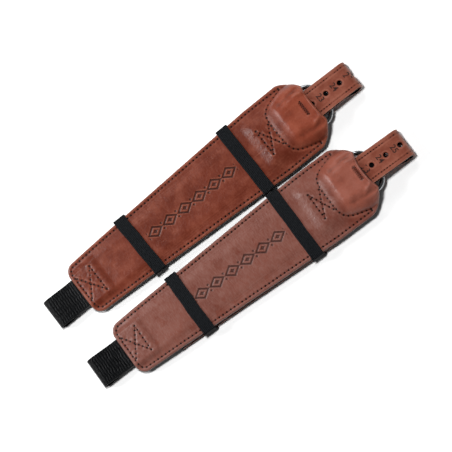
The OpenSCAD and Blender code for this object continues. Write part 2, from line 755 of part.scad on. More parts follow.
module piece(name, unit) {
    flex = unit_flex(unit);
    low_at = pad_start + low_band_at + unit[3];
    high_at = pad_start + high_band_at;
    placed(unit) {
        if (name == "face_panel") face_panel();
        if (name == "back_panel") back_panel();
        if (name == "core_webbing") core_webbing();
        if (name == "end_loop_webbing") end_loop_webbing();
        if (name == "buckle_frame") buckle_frame();
        if (name == "buckle_prong") buckle_prong();
        if (name == "strap_anchor_leather") color(leather) strap_anchor(true, flex, unit[1]);
        if (name == "strap_anchor_lining") color(black) strap_anchor(false, flex, unit[1]);
        if (name == "strap_pass_leather") color(leather) strap_pass(true, flex, unit[1]);
        if (name == "strap_pass_lining") color(black) strap_pass(false, flex, unit[1]);
        if (name == "strap_loop_leather") color(leather) strap_loop(true, flex, unit[1]);
        if (name == "strap_loop_lining") color(black) strap_loop(false, flex, unit[1]);
        if (name == "strap_loop_stitching") strap_stitching(flex);
        if (name == "strap_tail_leather") color(leather) strap_tail(true, unit[2]);
        if (name == "strap_tail_lining") color(black) strap_tail(false, unit[2]);
        if (name == "low_band") band(low_at, low_travel, unit[2]);
        if (name == "high_band") band(high_at, high_travel, unit[2]);
        if (name == "low_band_stitching") band_stitching(low_at, low_travel, unit[2]);
        if (name == "high_band_stitching") band_stitching(high_at, high_travel, unit[2]);
        if (name == "edge_stitching") edge_stitching();
        if (name == "cover_stitching") cover_stitching();
        if (name == "end_box_stitching") box_stitching(end_box_line, pad_start + edge_inset + 1.4);
        if (name == "buckle_box_stitching") box_stitching(box_line, cover_start - 2);
        if (name == "cover_bar_tack") cover_bar_tack();
    }
}

PIECES = ["face_panel", "back_panel", "core_webbing", "end_loop_webbing", "buckle_frame",
    "buckle_prong", "strap_anchor_leather", "strap_anchor_lining", "strap_pass_leather",
    "strap_pass_lining", "strap_loop_leather", "strap_loop_lining", "strap_loop_stitching",
    "strap_tail_leather", "strap_tail_lining", "low_band", "high_band", "low_band_stitching",
    "high_band_stitching", "edge_stitching", "cover_stitching", "end_box_stitching",
    "buckle_box_stitching", "cover_bar_tack"];
for (p = PIECES) {
    piece(p, left_unit);
    piece(p, right_unit);
}
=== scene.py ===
"""A pair of wide leather riding straps with webbing loops, moulded buckle covers and elastic keepers.

Each unit is drawn in its own frame: x runs from the tip of its webbing loop to the fold of its
strap, y across it and z up from the table, all in millimetres. Placement turns that frame into
the shared one, which is in metres.
"""

import json
import logging
import math
from dataclasses import dataclass, field
from enum import Enum

import bmesh
import bpy
import numpy as np
from mathutils import Matrix


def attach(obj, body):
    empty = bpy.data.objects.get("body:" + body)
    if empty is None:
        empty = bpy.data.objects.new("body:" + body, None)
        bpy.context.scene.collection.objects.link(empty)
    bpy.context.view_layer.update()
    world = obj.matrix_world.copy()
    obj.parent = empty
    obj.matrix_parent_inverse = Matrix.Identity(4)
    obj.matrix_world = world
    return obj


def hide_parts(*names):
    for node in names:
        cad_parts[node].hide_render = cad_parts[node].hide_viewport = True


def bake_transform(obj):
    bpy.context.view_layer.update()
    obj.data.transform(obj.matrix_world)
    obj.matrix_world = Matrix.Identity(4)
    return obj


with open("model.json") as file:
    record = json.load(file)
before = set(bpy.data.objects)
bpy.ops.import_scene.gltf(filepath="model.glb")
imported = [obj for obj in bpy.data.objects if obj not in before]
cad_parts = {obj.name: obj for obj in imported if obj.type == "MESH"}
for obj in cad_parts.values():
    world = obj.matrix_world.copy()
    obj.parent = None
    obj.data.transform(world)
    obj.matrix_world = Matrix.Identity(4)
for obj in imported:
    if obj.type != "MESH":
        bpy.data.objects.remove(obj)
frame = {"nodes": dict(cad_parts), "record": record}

log = logging.getLogger("riding_straps")
Array = np.ndarray
MM = 0.001


class Side(Enum):
    """The two units of the pair."""

    LEFT = "left"
    RIGHT = "right"


# ---- shape functions ----------------------------------------------------------------


def smooth(t: Array) -> Array:
    """Ease from 0 to 1: 3t^2 - 2t^3 with t held between 0 and 1."""
    held = np.clip(t, 0.0, 1.0)
    return held * held * (3.0 - 2.0 * held)


def bell(distance: Array, width: float) -> Array:
    """A bell of height 1: exp(-(distance / width)^2)."""
    return np.exp(-np.square(distance / width))


def crumple(x: Array, y: Array, size: float, seed: int, waves: int = 14) -> Array:
    """A gentle irregular field between about -1 and 1.

    Args:
        x: Places along the unit.
        y: Places across it.
        size: The usual distance from one hump to the next.
        seed: Chooses the pattern.
        waves: How many sine waves of random direction and phase are added up.

    Returns:
        The sum of sin(k . p + phase) over the waves, scaled to about 1.
    """
    rng = np.random.default_rng(seed)
    total = np.zeros(np.broadcast(x, y).shape)
    for _ in range(waves):
        heading = rng.uniform(0.0, 2.0 * math.pi)
        k = 2.0 * math.pi / (size * rng.uniform(0.7, 1.6))
        phase = rng.uniform(0.0, 2.0 * math.pi)
        total += np.sin(k * (math.cos(heading) * x + math.sin(heading) * y) + phase)
    return total / math.sqrt(waves)


def ease_between(start: tuple[float, float], end: tuple[float, float], count: int) -> Array:
    """Points of a half cosine from one (x, z) point to another, ends level."""
    t = np.linspace(0.0, 1.0, count)
    x = start[0] + (end[0] - start[0]) * t
    z = start[1] + (end[1] - start[1]) * (1.0 - np.cos(math.pi * t)) / 2.0
    return np.column_stack([x, z])


def arc(centre: tuple[float, float], radius: float, start: float, end: float, count: int) -> Array:
    """Points of an arc between two angles in degrees."""
    a = np.radians(np.linspace(start, end, count))
    return np.column_stack([centre[0] + radius * np.cos(a), centre[1] + radius * np.sin(a)])


# ---- sizes --------------------------------------------------------------------------


@dataclass(frozen=True)
class UnitSizes:
    """Driving sizes of one unit, in millimetres, and the heights that follow from them."""

    pad_start: float = 29.0
    mouth: float = 262.5
    low_half: float = 22.6
    high_half: float = 31.2
    mouth_half: float = 16.5
    corner: float = 8.0
    face_t: float = 1.8
    back_t: float = 1.2
    end_drop: float = 2.2
    webbing_w: float = 25.0
    webbing_t: float = 1.2
    end_gap: float = 6.0
    strap_w: float = 24.6
    leather_t: float = 1.5
    nylon_t: float = 0.9
    strap_gap: float = 6.2
    strap_end: float = 300.0
    strap_slope: float = 0.09
    ply_gap: float = 0.15
    hole_d: float = 4.2
    hole_pitch: float = 13.4
    wire_r: float = 1.9
    eye_t: float = 1.4
    band_w: float = 10.5
    band_t: float = 0.8
    touch: float = 0.08
    fit: float = 0.2

    @property
    def strap_t(self) -> float:
        """Thickness of the strap's two plies."""
        return self.leather_t + self.nylon_t

    @property
    def shoulder(self) -> float:
        """Where the outline turns in towards the mouth."""
        return self.mouth - 16.5

    @property
    def cover_start(self) -> float:
        """Foot of the moulded cover."""
        return self.mouth - 36.5

    @property
    def anchor_start(self) -> float:
        """End of the strap under the box stitch."""
        return self.mouth - 50.5

    @property
    def fold_back_end(self) -> float:
        """End of the webbing that folds back into the pad."""
        return self.pad_start + 21.0

    @property
    def bar_x(self) -> float:
        """Hinge bar of the buckle."""
        return self.mouth - 22.5

    @property
    def z_tail_low(self) -> float:
        """Underside of the tail's lower layer."""
        return self.band_t + 0.1

    @property
    def z_tail_high(self) -> float:
        """Underside of the tail's upper layer."""
        return self.z_tail_low + self.strap_t + self.fit

    @property
    def z_back(self) -> float:
        """Underside of the grip lining."""
        return self.z_tail_high + self.strap_t + self.fit

    @property
    def z_core(self) -> float:
        """Underside of the webbing core."""
        return self.z_back + self.back_t

    @property
    def z_core_top(self) -> float:
        """Top of the webbing core."""
        return self.z_core + self.webbing_t

    @property
    def bar_z(self) -> float:
        """Height of the hinge bar's centre."""
        return self.z_core_top + self.wire_r + self.touch

    @property
    def fold_r(self) -> float:
        """Outer radius of the strap's fold."""
        return self.strap_gap / 2.0 + self.strap_t

    @property
    def tail_fold_x(self) -> float:
        """Where the tail folds back under the pad."""
        return self.pad_start + 38.5


@dataclass(frozen=True)
class UnitVariant:
    """What differs from one unit to the other, in millimetres and degrees."""

    side: Side
    first_hole: float
    flex_share: float
    tail_slants: tuple[float, float]
    low_band_at: float
    low_band_lean: float
    mouth_hollow: float
    tack_from_mouth: float
    box_line_from_mouth: float
    seed: int


LEFT_UNIT = UnitVariant(Side.LEFT, 11.5, 0.4, (0.0, 0.0), 83.0, 0.030, 0.6, 8.5, 49.0, 5)
RIGHT_UNIT = UnitVariant(Side.RIGHT, 5.5, 0.5, (4.4, 2.4), 86.5, 0.0, 1.9, 6.0, 47.5, 11)
HIGH_BAND_AT = 188.0
FIRST_NUMBER = 22


class Placement:
    """Turns points of a unit's drawing frame into the shared frame, read off the frame's joints."""

    def __init__(self, side: Side, sizes: UnitSizes) -> None:
        """Reads the unit's axes from its band slide and its hinge bar."""
        joints = {j["name"]: j for j in frame["record"]["behaviour"]["joints"]}
        hinge = joints[f"{side.value}_buckle_hinge"]
        self.along = np.array(joints[f"{side.value}_low_band_slide"]["axis"], float)
        self.across = np.array(hinge["axis"], float)
        bar = np.array(hinge["pos_m"], float)
        self.origin = bar - self.along * sizes.bar_x * MM
        self.origin[2] = 0.0

    def to_row(self, points: Array) -> Array:
        """Drawing-frame points in millimetres to shared-frame points in metres."""
        p = np.asarray(points, float) * MM
        up = np.array([0.0, 0.0, 1.0])
        return self.origin + p[..., :1] * self.along + p[..., 1:2] * self.across + p[..., 2:3] * up


class UnitShape:
    """Outline and heights of one unit, as functions of x and y in its drawing frame."""

    core_edge = 13.2
    core_foot = 19.2

    def __init__(self, sizes: UnitSizes, variant: UnitVariant) -> None:
        """Keeps the sizes and works out the droop of the narrow end."""
        self.s = sizes
        self.v = variant
        self.droop_start = sizes.pad_start + 41.0
        self.droop_rate = sizes.end_drop / 41.0**2
        self.first_hole = sizes.mouth + variant.first_hole
        self.flex = self.first_hole + variant.flex_share * sizes.hole_pitch

    def half_width(self, x: Array) -> Array:
        """Half width: a quarter round, a straight taper, and a shoulder down to the mouth."""
        s = self.s
        full = s.shoulder - 31.0
        taper = s.low_half + (s.high_half - s.low_half) * np.clip(
            (x - s.pad_start) / (full - s.pad_start), 0, 1
        )
        inset = np.clip(s.pad_start + s.corner - x, 0.0, s.corner)
        rounded = taper - s.corner + np.sqrt(s.corner**2 - inset**2)
        turn = np.clip((x - s.shoulder) / (s.mouth - s.shoulder), 0.0, 1.0)
        shoulder = s.mouth_half + (s.high_half - s.mouth_half) * (1.0 - turn**1.5) ** 0.8
        return np.where(x < s.shoulder, rounded, shoulder)

    def droop(self, x: Array) -> Array:
        """How far the narrow end hangs: a parabola that starts at droop_start."""
        return self.droop_rate * np.square(np.clip(self.droop_start - x, 0.0, None))

    def strap_top(self, x: Array) -> Array:
        """Top of the strap where it leaves the cover: a straight fall."""
        s = self.s
        return s.bar_z + s.wire_r + s.touch + s.eye_t + 0.1 + s.strap_t - s.strap_slope * (x - s.bar_x)

    def end_line(self, x: Array) -> Array:
        """Middle height of the two webbing plies outside the pad, on the slope of its end."""
        s = self.s
        slope = 2.0 * self.droop_rate * 41.0
        return s.z_core_top - s.end_drop - slope * (s.pad_start - x)

    def mouth_shift(self, x: Array, y: Array) -> Array:
        """How far the mouth's edge is drawn back: most in its middle."""
        s = self.s
        near = np.square(np.clip((x - s.shoulder) / (s.mouth - s.shoulder), 0.0, None))
        return (1.4 + self.v.mouth_hollow - 0.6) * near * (
            1.0 - np.square(np.clip(np.abs(y) / s.mouth_half, 0, 1))
        )

    def face_under(self, x: Array, y: Array) -> Array:
        """Underside of the face leather: flat on its core, then the box stitch, then the cover."""
        s = self.s
        foot = np.maximum(self.half_width(np.minimum(x, s.cover_start)) - 4.4, self.core_foot - 1.0)
        crown = 1.0 - smooth((np.abs(y) - self.core_edge) / (foot - self.core_edge))
        anchor = s.webbing_t + 0.9
        stack = crown * (
            s.webbing_t
            + anchor * smooth((x - s.anchor_start + 8.5) / 9.5)
            + s.webbing_t * (1.0 - smooth((x - s.fold_back_end - 0.2) / 4.4))
        )
        return s.z_core + s.touch + self.soft_max(stack, self.cover(x, y)) - self.droop(x)

    @staticmethod
    def soft_max(a: Array, b: Array) -> Array:
        """The larger of two heights with a rounded valley between them: (a^6 + b^6)^(1/6)."""
        return (np.clip(a, 1e-3, None) ** 6 + np.clip(b, 1e-3, None) ** 6) ** (1.0 / 6.0)

    def cover(self, x: Array, y: Array) -> Array:
        """Height of the moulded cover: a rise from its foot, falling with the strap, crowned across."""
        s = self.s
        start = s.cover_start
        half = np.interp(
            x, start + np.array([-0.6, 0.0, 2.0, 8.0, 22.0, 36.5]), [1.0, 12.0, 19.0, 22.6, 26.4, 25.0]
        )
        stack_top = s.z_core_top + s.webbing_t + 0.9
        top = self.strap_top(np.array(s.bar_x)) + 0.75
        rise = stack_top + (top - stack_top) * smooth((x - start + 1.5) / 12.0)
        rise = rise - s.strap_slope * np.clip(x - s.bar_x, 0.0, None)
        across = np.clip(1.0 - (np.abs(y) / half) ** 4, 0.0, None) ** (1.0 / 1.3)
        return np.where(x < start - 0.5, 0.0, (rise - s.z_core) * across)


# ---- meshes -------------------------------------------------------------------------


@dataclass
class Surface:
    """Points, faces and per-point values of a piece that is being made."""

    points: Array
    faces: list
    uv: Array
    values: dict = field(default_factory=dict)

    def joined(self, other: "Surface") -> "Surface":
        """This surface and another as one."""
        shift = len(self.points)
        names = set(self.values) | set(other.values)
        values = {
            n: np.concatenate([
                self.values.get(n, np.zeros(len(self.points))),
                other.values.get(n, np.zeros(len(other.points))),
            ])
            for n in names
        }
        faces = self.faces + [[i + shift for i in f] for f in other.faces]
        return Surface(np.vstack([self.points, other.points]), faces, np.vstack([self.uv, other.uv]), values)


def grid_quads(rows: int, columns: int, wrap_rows: bool = False, wrap_columns: bool = False) -> list:
    """Faces of a grid of rows x columns points, closed round on the sides that wrap."""
    i = np.arange(rows if wrap_rows else rows - 1)[:, None]
    j = np.arange(columns if wrap_columns else columns - 1)[None, :]
    down = (i + 1) % rows
    right = (j + 1) % columns
    quads = np.stack(
        [i * columns + j, i * columns + right, down * columns + right, down * columns + j], axis=-1
    )
    return quads.reshape(-1, 4).tolist()


def tube(sections: Array, uv: Array, values: dict | None = None, closed: bool = False) -> Surface:
    """A surface through closed cross sections, with end caps unless it closes on itself.

    Args:
        sections: Points, as stations x points round each section x 3.
        uv: Texture places, as stations x points x 2.
        values: Per-point values, each stations x points.
        closed: True where the last station joins the first.

    Returns:
        The surface.
    """
    rows, columns = sections.shape[:2]
    faces = grid_quads(rows, columns, wrap_rows=closed, wrap_columns=True)
    if not closed:
        faces.append(list(range(columns))[::-1])
        faces.append(list(range((rows - 1) * columns, rows * columns)))
    flat = {name: v.reshape(-1) for name, v in (values or {}).items()}
    return Surface(sections.reshape(-1, 3), faces, uv.reshape(-1, 2), flat)


def build(name: str, surface: Surface, place: Placement | None, crease: float = 40.0) -> bpy.types.Object:
    """Makes an object from a surface, its faces turned outwards.

    Args:
        name: The object's name.
        surface: The surface in the unit's drawing frame, or laid out flat.
        place: The unit's placement, or None for a flat piece that is bent later.
        crease: Edges sharper than this many degrees stay sharp.

    Returns:
        The object, linked to the scene.
    """
    mesh = bpy.data.meshes.new(name)
    points = surface.points * MM if place is None else place.to_row(surface.points)
    mesh.from_pydata(points.tolist(), [], surface.faces)
    layer = mesh.uv_layers.new(name="UVMap")
    ends = np.zeros(len(mesh.loops), np.int32)
    mesh.loops.foreach_get("vertex_index", ends)
    layer.data.foreach_set("uv", (surface.uv[ends] * MM).astype(np.float32).ravel())
    for key, value in surface.values.items():
        mesh.attributes.new(key, "FLOAT", "POINT").data.foreach_set("value", value.astype(np.float32))
    turned = bmesh.new()
    turned.from_mesh(mesh)
    bmesh.ops.recalc_face_normals(turned, faces=turned.faces)
    turned.to_mesh(mesh)
    turned.free()
    return link(name, mesh, crease)


def link(name: str, mesh: bpy.types.Mesh, crease: float = 40.0) -> bpy.types.Object:
    """Shades a mesh smooth but for its creases and puts it into the scene."""
    mesh.polygons.foreach_set("use_smooth", np.ones(len(mesh.polygons), bool))
    mesh.set_sharp_from_angle(angle=math.radians(crease))
    thing = bpy.data.objects.new(name, mesh)
    bpy.context.scene.collection.objects.link(thing)
    return thing


def cut(thing: bpy.types.Object, cutter: bpy.types.Object) -> None:
    """Cuts one object out of another for good, and removes the cutter."""
    knife = thing.modifiers.new("holes", "BOOLEAN")
    knife.operation = "DIFFERENCE"
    knife.object = cutter
    knife.solver = "EXACT"
    graph = bpy.context.evaluated_depsgraph_get()
    mesh = bpy.data.meshes.new_from_object(thing.evaluated_get(graph))
    thing.modifiers.clear()
    old = thing.data
    thing.data = mesh
    bpy.data.meshes.remove(old)
    bpy.data.objects.remove(cutter)


@dataclass
class Course:
    """A path that a strap or a webbing runs along, with its directions."""

    points: Array
    across: Array

    def __post_init__(self) -> None:
        """Works out the tangent, the normal on the path's left, and the length so far."""
        step = np.gradient(self.points, axis=0)
        self.tangent = step / np.linalg.norm(step, axis=1, keepdims=True)
        normal = np.cross(self.tangent, self.across)
        self.normal = normal / np.linalg.norm(normal, axis=1, keepdims=True)
        hops = np.linalg.norm(np.diff(self.points, axis=0), axis=1)
        self.length = np.concatenate([[0.0], np.cumsum(hops)])

    def sample(self, values: Array, s: Array) -> Array:
        """Per-station vectors read off at lengths s along the path."""
        return np.stack([np.interp(s, self.length, values[:, k]) for k in range(3)], axis=-1)

    def at(self, s: Array, y: Array, lift: Array) -> Array:
        """Points at lengths s, y off the middle and lift above the path."""
        s, y, lift = np.broadcast_arrays(np.asarray(s, float), y, lift)
        centre = self.sample(self.points, s)
        aside = y[..., None] * self.sample(self.across, s)
        return centre + aside + lift[..., None] * self.sample(self.normal, s)


def bend(thing: bpy.types.Object, course: Course, place: Placement, crease: float = 60.0) -> None:
    """Bends a flat piece, whose x, y and z are length, offset and lift, along its course.

    Args:
        thing: The flat piece, in metres.
        course: The path that it follows.
        place: The unit's placement.
        crease: Edges sharper than this many degrees stay sharp.
    """
    mesh = thing.data
    flat = np.zeros(len(mesh.vertices) * 3, np.float32)
    mesh.vertices.foreach_get("co", flat)
    s, y, lift = flat.reshape(-1, 3).T / MM
    points = place.to_row(course.at(s, y, lift))
    mesh.vertices.foreach_set("co", points.astype(np.float32).ravel())
    ends = np.zeros(len(mesh.loops), np.int32)
    mesh.loops.foreach_get("vertex_index", ends)
    uv = flat.reshape(-1, 3)[ends, :2]
    mesh.uv_layers.active.data.foreach_set("uv", uv.ravel())
    turned = bmesh.new()
    turned.from_mesh(mesh)
    bmesh.ops.recalc_face_normals(turned, faces=turned.faces)
    turned.to_mesh(mesh)
    turned.free()
    mesh.polygons.foreach_set("use_smooth", np.ones(len(mesh.polygons), bool))
    mesh.set_sharp_from_angle(angle=math.radians(crease))


def round_section(
    half: Array, low: Array, high: Array, corner: float, flat: int, bend: int
) -> tuple[Array, Array]:
    """Rounded-rectangle cross sections for stations of changing width and thickness.

    Args:
        half: Half width at each station.
        low: Offset of the lower face at each station.
        high: Offset of the upper face at each station.
        corner: Radius of the edges, held to under half the thickness.
        flat: Steps along each face.
        bend: Steps round each corner.

    Returns:
        The across and the upward places, each stations x points, upper face first.
    """
    half, low, high = (np.asarray(a, float)[:, None] for a in (half, low, high))
    c = np.minimum(corner, 0.49 * (high - low))
    t = np.linspace(1.0, -1.0, flat + 1)[None, :]
    quarter = np.radians(np.linspace(0.0, 90.0, bend + 1))[None, 1:-1]
    zero = np.zeros_like(t)
    y = [t * (half - c), -(half - c) - c * np.sin(quarter), -half + 0 * c, -half + 0 * c]
    n = [high + zero, high - c + c * np.cos(quarter), high - c, low + c]
    y += [-(half - c) - c * np.cos(quarter), -t * (half - c)]
    n += [low + c - c * np.sin(quarter), low + zero]
    y += [(half - c) + c * np.sin(quarter), half + 0 * c, half + 0 * c, (half - c) + c * np.cos(quarter)]
    n += [low + c - c * np.cos(quarter), low + c, high - c, high - c + c * np.sin(quarter)]
    return np.concatenate(y, axis=1), np.concatenate(n, axis=1)


# ---- threads ------------------------------------------------------------------------


class Stitches:
    """Threads between needle holes: short arched tubes, and the pits that they dive into, dark as painted
    shade of the holes.
    """

    def __init__(self, radius: float = 0.3, pit: float = 0.55) -> None:
        """Starts with no stitch."""
        self.radius = radius
        self.pit = pit
        self.ends: list[tuple[Array, Array, Array]] = []

    def add(self, starts: Array, ends: Array, ups: Array) -> None:
        """Adds stitches from their two needle holes and the surface's normals there."""
        self.ends.append((starts, ends, ups))

    def surface(self) -> Surface:
        """All stitches and pits as one surface, worked out as whole arrays."""
        a, b, up = (np.vstack([e[k] for e in self.ends]) for k in range(3))
        return self.threads(a, b, up).joined(self.pits(a, b, up))

    def threads(self, a: Array, b: Array, up: Array) -> Surface:
        """Each thread is a tube of six sides whose middle stands up and whose ends dive."""
        rings, sides = 7, 6
        t = np.linspace(0.0, 1.0, rings)[None, :, None]
        run = b - a
        side = np.cross(up, run)
        side /= np.linalg.norm(side, axis=1, keepdims=True)
        arch = (0.95 * np.sin(math.pi * t) ** 0.6 - 0.85) * self.radius
        inset = 0.10 + 0.80 * t
        centre = a[:, None, :] + run[:, None, :] * inset + up[:, None, :] * arch
        girth = self.radius * (0.62 + 0.38 * np.sin(math.pi * t) ** 0.5)
        angle = np.linspace(0.0, 2.0 * math.pi, sides, endpoint=False)[None, None, :, None]
        offset = np.cos(angle) * side[:, None, None, :] + np.sin(angle) * up[:, None, None, :]
        points = centre[:, :, None, :] + girth[..., None] * offset
        count = len(a)
        one = np.array(grid_quads(rings, sides, wrap_columns=True))
        base = (np.arange(count) * rings * sides)[:, None, None]
        faces = (one[None] + base).reshape(-1, 4).tolist()
        caps = np.array([list(range(sides))[::-1], list(range((rings - 1) * sides, rings * sides))])
        faces += (caps[None] + base).reshape(-1, sides).tolist()
        uv = np.zeros((count, rings, sides, 2))
        uv[..., 0] = np.linalg.norm(run, axis=1)[:, None, None] * t[..., 0][..., None]
        uv[..., 1] = np.linspace(0.0, 2.0, sides)
        return Surface(points.reshape(-1, 3), faces, uv.reshape(-1, 2))

    def pits(self, a: Array, b: Array, up: Array) -> Surface:
        """A shallow cone, closed on top and dark as painted shade of the needle hole, at both ends of every
        stitch.
        """
        centre = np.vstack([a, b])
        axis = np.vstack([up, up])
        run = np.vstack([b - a, b - a])
        run /= np.linalg.norm(run, axis=1, keepdims=True)
        side = np.cross(axis, run)
        sides = 8
        angle = np.linspace(0.0, 2.0 * math.pi, sides, endpoint=False)[None, :, None]
        ring = centre[:, None, :] + self.pit * (
            np.cos(angle) * run[:, None, :] + np.sin(angle) * side[:, None, :]
        )
        ring = ring + axis[:, None, :] * 0.03
        points = np.concatenate(
            [ring, (centre - axis * 0.6)[:, None, :], (centre - axis * 0.02)[:, None, :]], axis=1
        )
        k = np.arange(sides)
        low = np.stack([k, (k + 1) % sides, np.full(sides, sides)], axis=1)
        high = np.stack([(k + 1) % sides, k, np.full(sides, sides + 1)], axis=1)
        one = np.vstack([low, high])
        base = (np.arange(len(centre)) * (sides + 2))[:, None, None]
        faces = (one[None] + base).reshape(-1, 3).tolist()
        points = points.reshape(-1, 3)
        return Surface(points, faces, np.zeros((len(points), 2)), {"pit": np.ones(len(points))})


class StitchRun:
    """A line of stitches over the face, as a polyline in x and y."""

    def __init__(self, corners: list, pitch: float = 3.6) -> None:
        """Spaces the needle holes evenly along the line."""
        self.line = np.array(corners, float)
        hops = np.linalg.norm(np.diff(self.line, axis=0), axis=1)
        self.length = np.concatenate([[0.0], np.cumsum(hops)])
        count = max(1, round(self.length[-1] / pitch))
        self.pitch = self.length[-1] / count
        s = np.linspace(0.0, self.length[-1], count + 1)
        self.holes = np.stack([np.interp(s, self.length, self.line[:, k]) for k in (0, 1)], axis=-1)

    def distance(self, x: Array, y: Array) -> tuple[Array, Array]:
        """Distance from each point to the line, and to its nearest needle hole."""
        best = np.full(x.shape, 1e6)
        along = np.zeros(x.shape)
        for a, b, start in zip(self.line[:-1], self.line[1:], self.length[:-1]):
            run = b - a
            size = np.linalg.norm(run)
            t = np.clip(((x - a[0]) * run[0] + (y - a[1]) * run[1]) / size**2, 0.0, 1.0)
            d = np.hypot(x - a[0] - t * run[0], y - a[1] - t * run[1])
            nearer = d < best
            best = np.where(nearer, d, best)
            along = np.where(nearer, start + t * size, along)
        phase = (along / self.pitch + 0.5) % 1.0 - 0.5
        return best, np.hypot(best, phase * self.pitch)


# ---- the padded face ----------------------------------------------------------------


class FacePanel:
    """The tapered face leather with its relief, and every stitch that goes through it."""

    round_r = 1.7
    step = 0.52

    def __init__(self, shape: UnitShape, place: Placement) -> None:
        """Lays out the lines of stitching."""
        self.shape = shape
        self.place = place
        s, v = shape.s, shape.v
        self.runs = {
            "edge_stitching": [StitchRun(self.edge_line())],
            "cover_stitching": [StitchRun(self.cover_line())],
            "end_box_stitching": self.box_runs(s.pad_start + 18.0, s.pad_start + 4.4),
            "buckle_box_stitching": self.box_runs(s.mouth - v.box_line_from_mouth, s.cover_start - 1.6),
            "cover_bar_tack": self.tack_runs(s.mouth - v.tack_from_mouth),
        }

    def edge_line(self) -> list:
        """The line 3.1 mm inside the edge, from one shoulder round the narrow end to the other."""
        s = self.shape.s
        inset = 3.1
        x = np.linspace(s.shoulder + 1.5, s.pad_start + s.corner, 14)
        upper = np.column_stack([x, self.shape.half_width(x) - inset])
        centre = (s.pad_start + s.corner, float(upper[-1, 1]) - s.corner + inset)
        turn = arc(centre, s.corner - inset, 90.0, 180.0, 8)[1:]
        half = np.vstack([upper, turn])
        return np.vstack([half, half[::-1] * [1.0, -1.0]]).tolist()

    def cover_line(self) -> list:
        """The line that holds the cover down, round the buckle from shoulder to shoulder."""
        s = self.shape.s
        c = s.cover_start
        side = [(s.shoulder + 1.5, s.high_half - 4.8), (c + 15.0, 24.6), (c + 8.6, 22.6), (c + 4.6, 20.4)]
        side += [(c + 1.8, 17.6), (c + 0.4, 14.0), (c - 0.4, 8.0)]
        return side + [(x, -y) for x, y in side[::-1]]

    @staticmethod
    def box_runs(line_x: float, far_x: float) -> list:
        """A cross line and two diagonals over the end of the webbing."""
        half = 11.4
        low = 9.6
        return [
            StitchRun([(line_x, half), (line_x, -half)]),
            StitchRun([(line_x, half), (far_x, -low)]),
            StitchRun([(line_x, -half), (far_x, low)]),
        ]

    @staticmethod
    def tack_runs(x: float) -> list:
        """Two dense rows side by side across the cover."""
        return [
            StitchRun([(x + 0.45, 6.8), (x + 0.45, -5.2)], 1.7),
            StitchRun([(x - 0.55, 6.0), (x - 0.55, -4.6)], 1.7),
        ]

    def edge_distance(self, x: Array, y: Array) -> Array:
        """Distance from the outline, rounded where two of its sides meet."""
        s = self.shape.s
        half = self.shape.half_width(x)
        slope = np.abs(np.gradient(half, axis=0) / np.maximum(np.gradient(x, axis=0), 1e-6))
        side = (half - np.abs(y)) / np.sqrt(1.0 + np.square(np.minimum(slope, 4.0)))
        end = x - s.pad_start
        corner_y = self.shape.half_width(np.array(s.pad_start + s.corner)) - s.corner
        inside = (x < s.pad_start + s.corner) & (np.abs(y) > corner_y)
        reach = s.corner - np.hypot(s.pad_start + s.corner - x, np.abs(y) - corner_y)
        side = np.where(inside, reach, side)
        mouth = s.mouth - x
        return np.clip(np.minimum(np.minimum(side, end), mouth), 0.0, None)

    def top(self, x: Array, y: Array) -> Array:
        """Upper side before any relief."""
        return self.shape.face_under(x, y) + self.shape.s.face_t

    def tooling(self, x: Array, y: Array) -> Array:
        """A row of lozenges with a dot in each and between them: 1 on the tooled lines, 0 off them."""
        pitch, start, count = 14.6, 97.0, 6
        cell = (x - start) / pitch
        inside = (cell > 0.0) & (cell < count)
        cell_x = (cell % 1.0 - 0.5) * pitch
        lozenge = np.abs(np.abs(cell_x) / 6.1 + np.abs(y) / 4.3 - 1.0) * 3.4
        small = np.abs(np.abs(cell_x) / 2.5 + np.abs(y) / 1.8 - 0.5) * 1.7
        dots = np.hypot(np.abs(cell_x) - 7.3, np.abs(y) - 2.6)
        line = np.minimum(lozenge, small)
        marks = np.maximum(1.0 - smooth((line - 0.5) / 0.45), 1.0 - smooth((dots - 0.7) / 0.4))
        return np.where(inside, marks, 0.0)

    def relief(self, x: Array, y: Array, edge: Array) -> tuple[Array, dict]:
        """What the stitches, the mould and wear add to the height.

        Args:
            x: Places along the unit.
            y: Places across it.
            edge: Distance from the outline.

        Returns:
            The added height and the per-point values that the leather's material reads.
        """
        s, seed = self.shape.s, self.shape.v.seed
        height = np.zeros(x.shape)
        needle_shade = np.zeros(x.shape)
        pucker = np.zeros(x.shape)
        for name, runs in self.runs.items():
            depth = 0.16 if name == "cover_bar_tack" else 0.3
            for run in runs:
                line, hole = run.distance(x, y)
                height -= 0.6 * depth * bell(line, 0.9) + 0.34 * bell(hole, 0.7)
                height += 0.05 * bell(line - 1.8, 0.9)
                # painted shade: the leather is darkened round each needle hole
                needle_shade = np.maximum(needle_shade, bell(hole, 0.8))
                if name.endswith("box_stitching"):
                    pucker = np.maximum(pucker, bell(line, 3.2))
        height += 0.13 * pucker * crumple(x, y, 4.6, seed + 3)
        # the edges of the plies beneath press faint double lines into the leather
        for place, depth in ((17.4, 0.05), (19.4, 0.09), (21.1, 0.07)):
            wander = 0.15 * crumple(x, y * 0.1, 30.0, seed + 5)
            line = np.abs(np.abs(y) - place * (0.985 + 0.00012 * (x - 100.0)) - wander)
            height -= depth * bell(line, 0.35) * smooth((x - 60.0) / 20.0) * (x < s.anchor_start + 10.0)
        # the buckle and the strap press through the cover from inside
        plateau = smooth((x - s.cover_start - 9.0) / 6.0)
        height -= 0.65 * plateau * bell(np.abs(y) - 17.6 + 0.10 * (s.mouth - x), 2.6)
        height += 0.30 * plateau * bell(np.abs(y) - 12.6 + 0.06 * (s.mouth - x), 3.0)
        height += 0.50 * smooth((x - s.cover_start - 18.0) / 8.0) * bell(np.abs(y) - 20.2, 2.2)
        height -= 0.35 * bell(x - s.cover_start - 23.5, 5.5) * bell(y, 13.0)
        height += 0.40 * bell(x - s.cover_start - 13.5, 4.5) * bell(y, 12.0)
